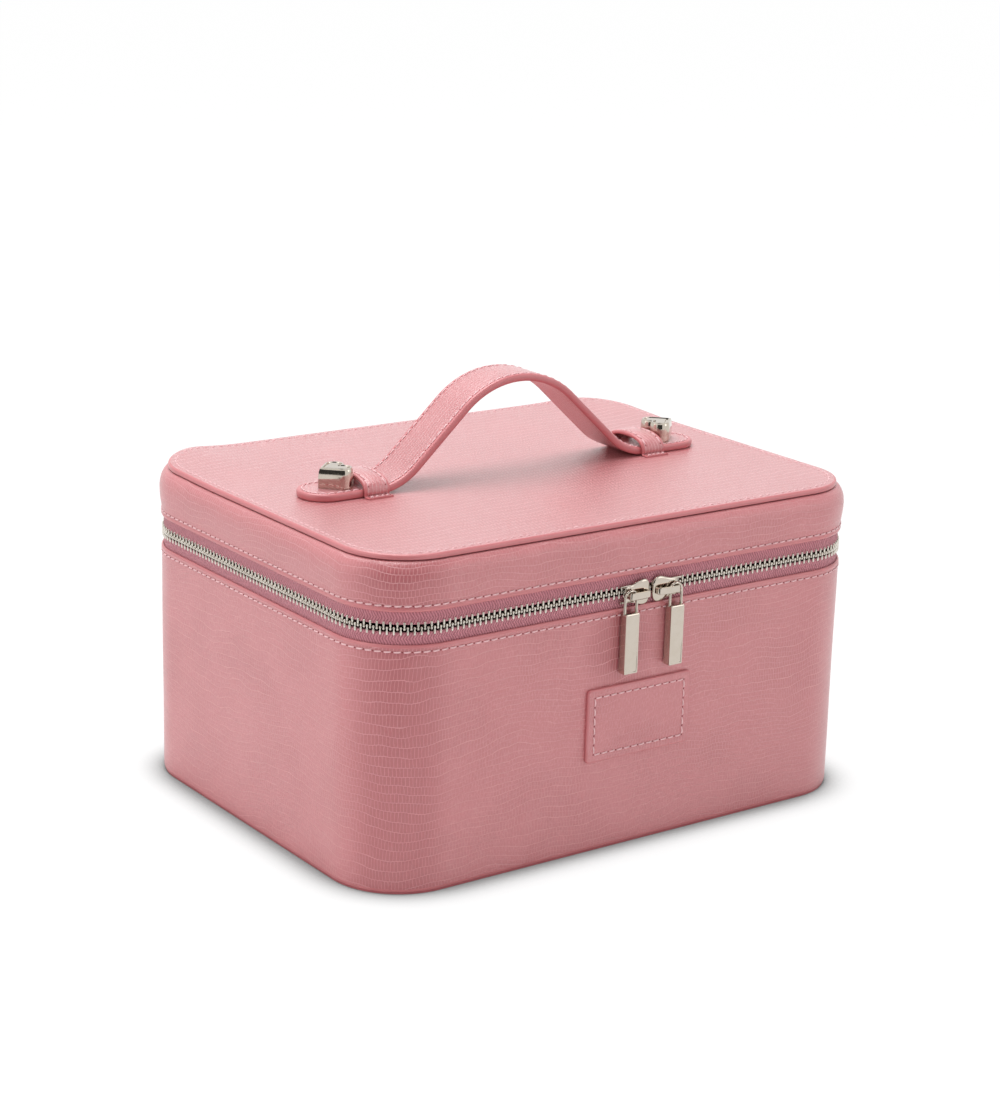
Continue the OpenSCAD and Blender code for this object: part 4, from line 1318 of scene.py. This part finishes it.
def strap_stitching(side, name):
    row = STRAP_HALF - STRAP_ROW
    along = spread(0.0, STRAP_ROUND, STITCH_PITCH)
    bend = arc(STRAP_ROUND, 0, row, -QUARTER, QUARTER, 8)[1:-1]
    holes = []
    for u, v in [(u, -row) for u in along] + bend + [(u, row) for u in reversed(along)]:
        up = strap_frame(u)[1]
        holes.append((on_strap(side, u, v, STRAP_THICK - STITCH_SUNK), Vector((side * up.x, 0, up.z))))
    for piece in sew(name + "_strap_stitch", [holes], None):
        blend_strap(piece, side, name)


def loop_stitching(side, name):
    path = loop_path()
    end = path[-1][3]

    def hole(length, x):
        i = next((k for k in range(1, len(path)) if path[k][3] >= length), len(path) - 1)
        (p0, out0, thick0, length0), (p1, out1, thick1, length1) = path[i - 1], path[i]
        share = (length - length0) / (length1 - length0)
        out = out0.lerp(out1, share).normalized()
        point = p0.lerp(p1, share) + out * ((thick0 + (thick1 - thick0) * share) * 0.9)
        return Vector((side * (LOOP_LOW.x + x), point.y, LID_TOP + point.z)), out

    rows = [[hole(length, x) for length in spread(4.2, end - 4.2, 3.4)]
            for x in (LOOP_ROW, LOOP_WIDTH - LOOP_ROW)]
    for y in (1.1 - LOOP_HIGH.y, LOOP_HIGH.y - 1.1):
        rows.append([(Vector((side * x, y, LID_TOP + LOOP_FOOT_THICK)), UP)
                     for x in spread(LOOP_LOW.x + 1, LOOP_HIGH.x - 1, 2.7)])
    sew(name + "_loop_stitch", rows, "lid")


# ---------- CAD nodes whose shape stays ----------

def dress_nodes():
    looks = (
        (LEATHER_BASE, ("base_cover",)),
        (BOARD_FIBRE, ("base_board", "body_wall_board", "lid_wall_board", "lid_top_board",
                       "lid_panel_board")),
        (FOAM_CELLS, ("lid_top_foam",)),
        (NICKEL_TEETH, ("lower_zip_stops", "upper_zip_stops")),
        (SCREW_STEEL, ("left_stud_screw", "right_stud_screw")),
    )
    for material, names in looks:
        for name in names:
            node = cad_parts[name]
            if not node.material_slots:
                node.data.materials.append(material)
            for slot in node.material_slots:
                slot.material = material


# ---------- camera, light, floor ----------

CAMERA_PLACE = Vector((-643.4, -889.3, 420.5)) * MM
CAMERA_YAW, CAMERA_PITCH, CAMERA_ROLL = 0.626, -0.280, 0.027
CAMERA_LENS = 83.45

WORLD_LIGHT = 0.57
FLOOR_HALF = 6.0
# Reach and depth of the floor's painted contact shadow, and the share of its real lit shading
SHADOW_REACH = 0.021
SHADOW_DEPTH = 0.86
SHADOW_SHARE = 0.12
FLOOR_GLOW = 1.06

# name, place, target, (width, height), power; in metres and watts
LAMPS = (
    ("key", (-0.1, 0.3, 1.5), (0, 0, 0.1), (1.15, 1.15), 20),
    ("side_fill", (-1.6, 0.3, 0.7), (0, 0, 0.06), (1.0, 0.8), 2.3),
    ("front_fill", (1.3, -1.5, 0.7), (0, 0, 0.06), (0.8, 0.8), 2.3),
)

# Dark patches on the table and behind the camera, and a dark ceiling round the overhead lamp, in metres
DARK_CARDS = (
    ("dark_table", ((-0.33, -0.2, 0.001), (-0.2, -0.36, 0.001), (-0.46, -0.8, 0.001), (-0.84, -0.52, 0.001))),
    ("dark_wall", ((-1.8, -0.8, -0.01), (-0.2, -2.0, -0.01), (-0.2, -2.0, 1.1), (-1.8, -0.8, 1.1))),
    ("dark_ceiling", ((-1.3, -1.3, 2.0), (1.3, -1.3, 2.0), (1.3, 1.3, 2.0), (-1.3, 1.3, 2.0))),
)


def add_object(name, data):
    made = bpy.data.objects.new(name, data)
    bpy.context.scene.collection.objects.link(made)
    return made


def add_camera():
    data = bpy.data.cameras.new("camera")
    data.lens = CAMERA_LENS
    data.sensor_fit = "VERTICAL"
    data.sensor_height = 36
    data.clip_end = 20
    camera = add_object("camera", data)
    camera.matrix_world = (Matrix.Translation(CAMERA_PLACE) @ Matrix.Rotation(-CAMERA_YAW, 4, "Z")
                           @ Matrix.Rotation(QUARTER + CAMERA_PITCH, 4, "X")
                           @ Matrix.Rotation(CAMERA_ROLL, 4, "Z"))
    bpy.context.scene.camera = camera


def add_lamp(name, place, target, size, power):
    data = bpy.data.lights.new(name, "AREA")
    data.shape = "RECTANGLE"
    data.size, data.size_y = size
    data.energy = power
    lamp = add_object(name, data)
    lamp.location = place
    lamp.rotation_euler = (Vector(target) - Vector(place)).to_track_quat("-Z", "Y").to_euler()


def add_world():
    """White to the camera and in reflections; a dimmer white lights the object."""
    world = bpy.data.worlds.new("world")
    bpy.context.scene.world = world
    t = Tree(world)
    background = t.nodes["Background"]
    background.inputs["Color"].default_value = WHITE
    strength = t.node("MapRange", {"Value": t.seen(), "To Min": WORLD_LIGHT, "To Max": 1.0})
    t.put(background.inputs["Strength"], strength)


def add_sheet(name, corners, material):
    """A flat sheet of four corners with one material, as the floor or a card."""
    mesh = bpy.data.meshes.new(name)
    mesh.from_pydata(corners, [], [(0, 1, 2, 3)])
    mesh.materials.append(material)
    sheet = add_object(name, mesh)
    return sheet


def add_floor():
    """A white floor that keeps the object's soft shadow, with a painted contact shadow: a darker line where
    the object touches it.
    """
    t = material_tree("floor_white")
    t.nodes.clear()
    diffuse = t.node("BsdfDiffuse", {"Color": FLOOR_WHITE})
    seen = t.seen()
    # Painted contact shadow: the glow dims where the object hides the floor close by
    openness = t.node("AmbientOcclusion", {"Distance": SHADOW_REACH}, "AO", samples=12)
    hidden = t.times(t.math("SUBTRACT", 1.0, openness), 2.0)
    hidden = t.math("POWER", t.math("MINIMUM", hidden, 1.0), 2.0)
    open_part = t.math("SUBTRACT", 1.0, t.times(hidden, SHADOW_DEPTH))
    glow = t.node("Emission", {"Strength": t.times(open_part, FLOOR_GLOW)})
    shown = t.node("MixShader", {0: 1 - SHADOW_SHARE, 1: diffuse, 2: glow})
    chosen = t.node("MixShader", {0: seen, 1: diffuse, 2: shown})
    t.put(t.nodes.new("ShaderNodeOutputMaterial").inputs["Surface"], chosen)
    half = FLOOR_HALF
    add_sheet("floor", [(-half, -half, 0), (half, -half, 0), (half, half, 0), (-half, half, 0)], t.owner)


def add_dark_card(name, corners):
    """A dark card that only shows in reflections, as the dark parts of a studio do in metal."""
    t = material_tree(name + "_cloth")
    t.nodes["Principled BSDF"].inputs["Base Color"].default_value = CARD_GREY
    card = add_sheet(name, corners, t.owner)
    card.visible_camera = False
    card.visible_diffuse = False
    card.visible_shadow = False
    card.visible_transmission = False


def build():
    add_camera()
    add_world()
    for lamp in LAMPS:
        add_lamp(*lamp)
    for card in DARK_CARDS:
        add_dark_card(*card)
    add_floor()
    body_cover()
    lid_cover()
    lid_panel()
    wall_lining("body_wall_cloth", "case_body", "body_wall_lining", box("body_wall_board")[1].z, 1)
    wall_lining("lid_wall_cloth", "lid", "lid_wall_lining", box("lid_wall_board")[0].z, -1)
    flat_lining("base_cloth", "case_body", "base_lining")
    flat_lining("lid_top_cloth", "lid", "lid_top_lining")
    tape("lower_tape_weave", "case_body", "lower_zip_tape", -1)
    tape("upper_tape_weave", "lid", "upper_zip_tape", 1)
    hinge_strip()
    teeth("lower_teeth_row", "case_body", -1, "lower_zip_teeth")
    teeth("upper_teeth_row", "lid", 1, "upper_zip_teeth")
    patch()
    strap_half(1, "right", ["right_tab", "right_handle_rise", "handle_grip"])
    strap_half(-1, "left", ["left_tab", "left_handle_rise"])
    case_stitching()
    patch_stitching()
    for side, name in ((-1, "left"), (1, "right")):
        for make in (slider, bridge, pull, stud, loop, strap_stitching, loop_stitching):
            make(side, name)
    dress_nodes()
    bpy.context.scene.view_settings.view_transform = "Standard"


build()
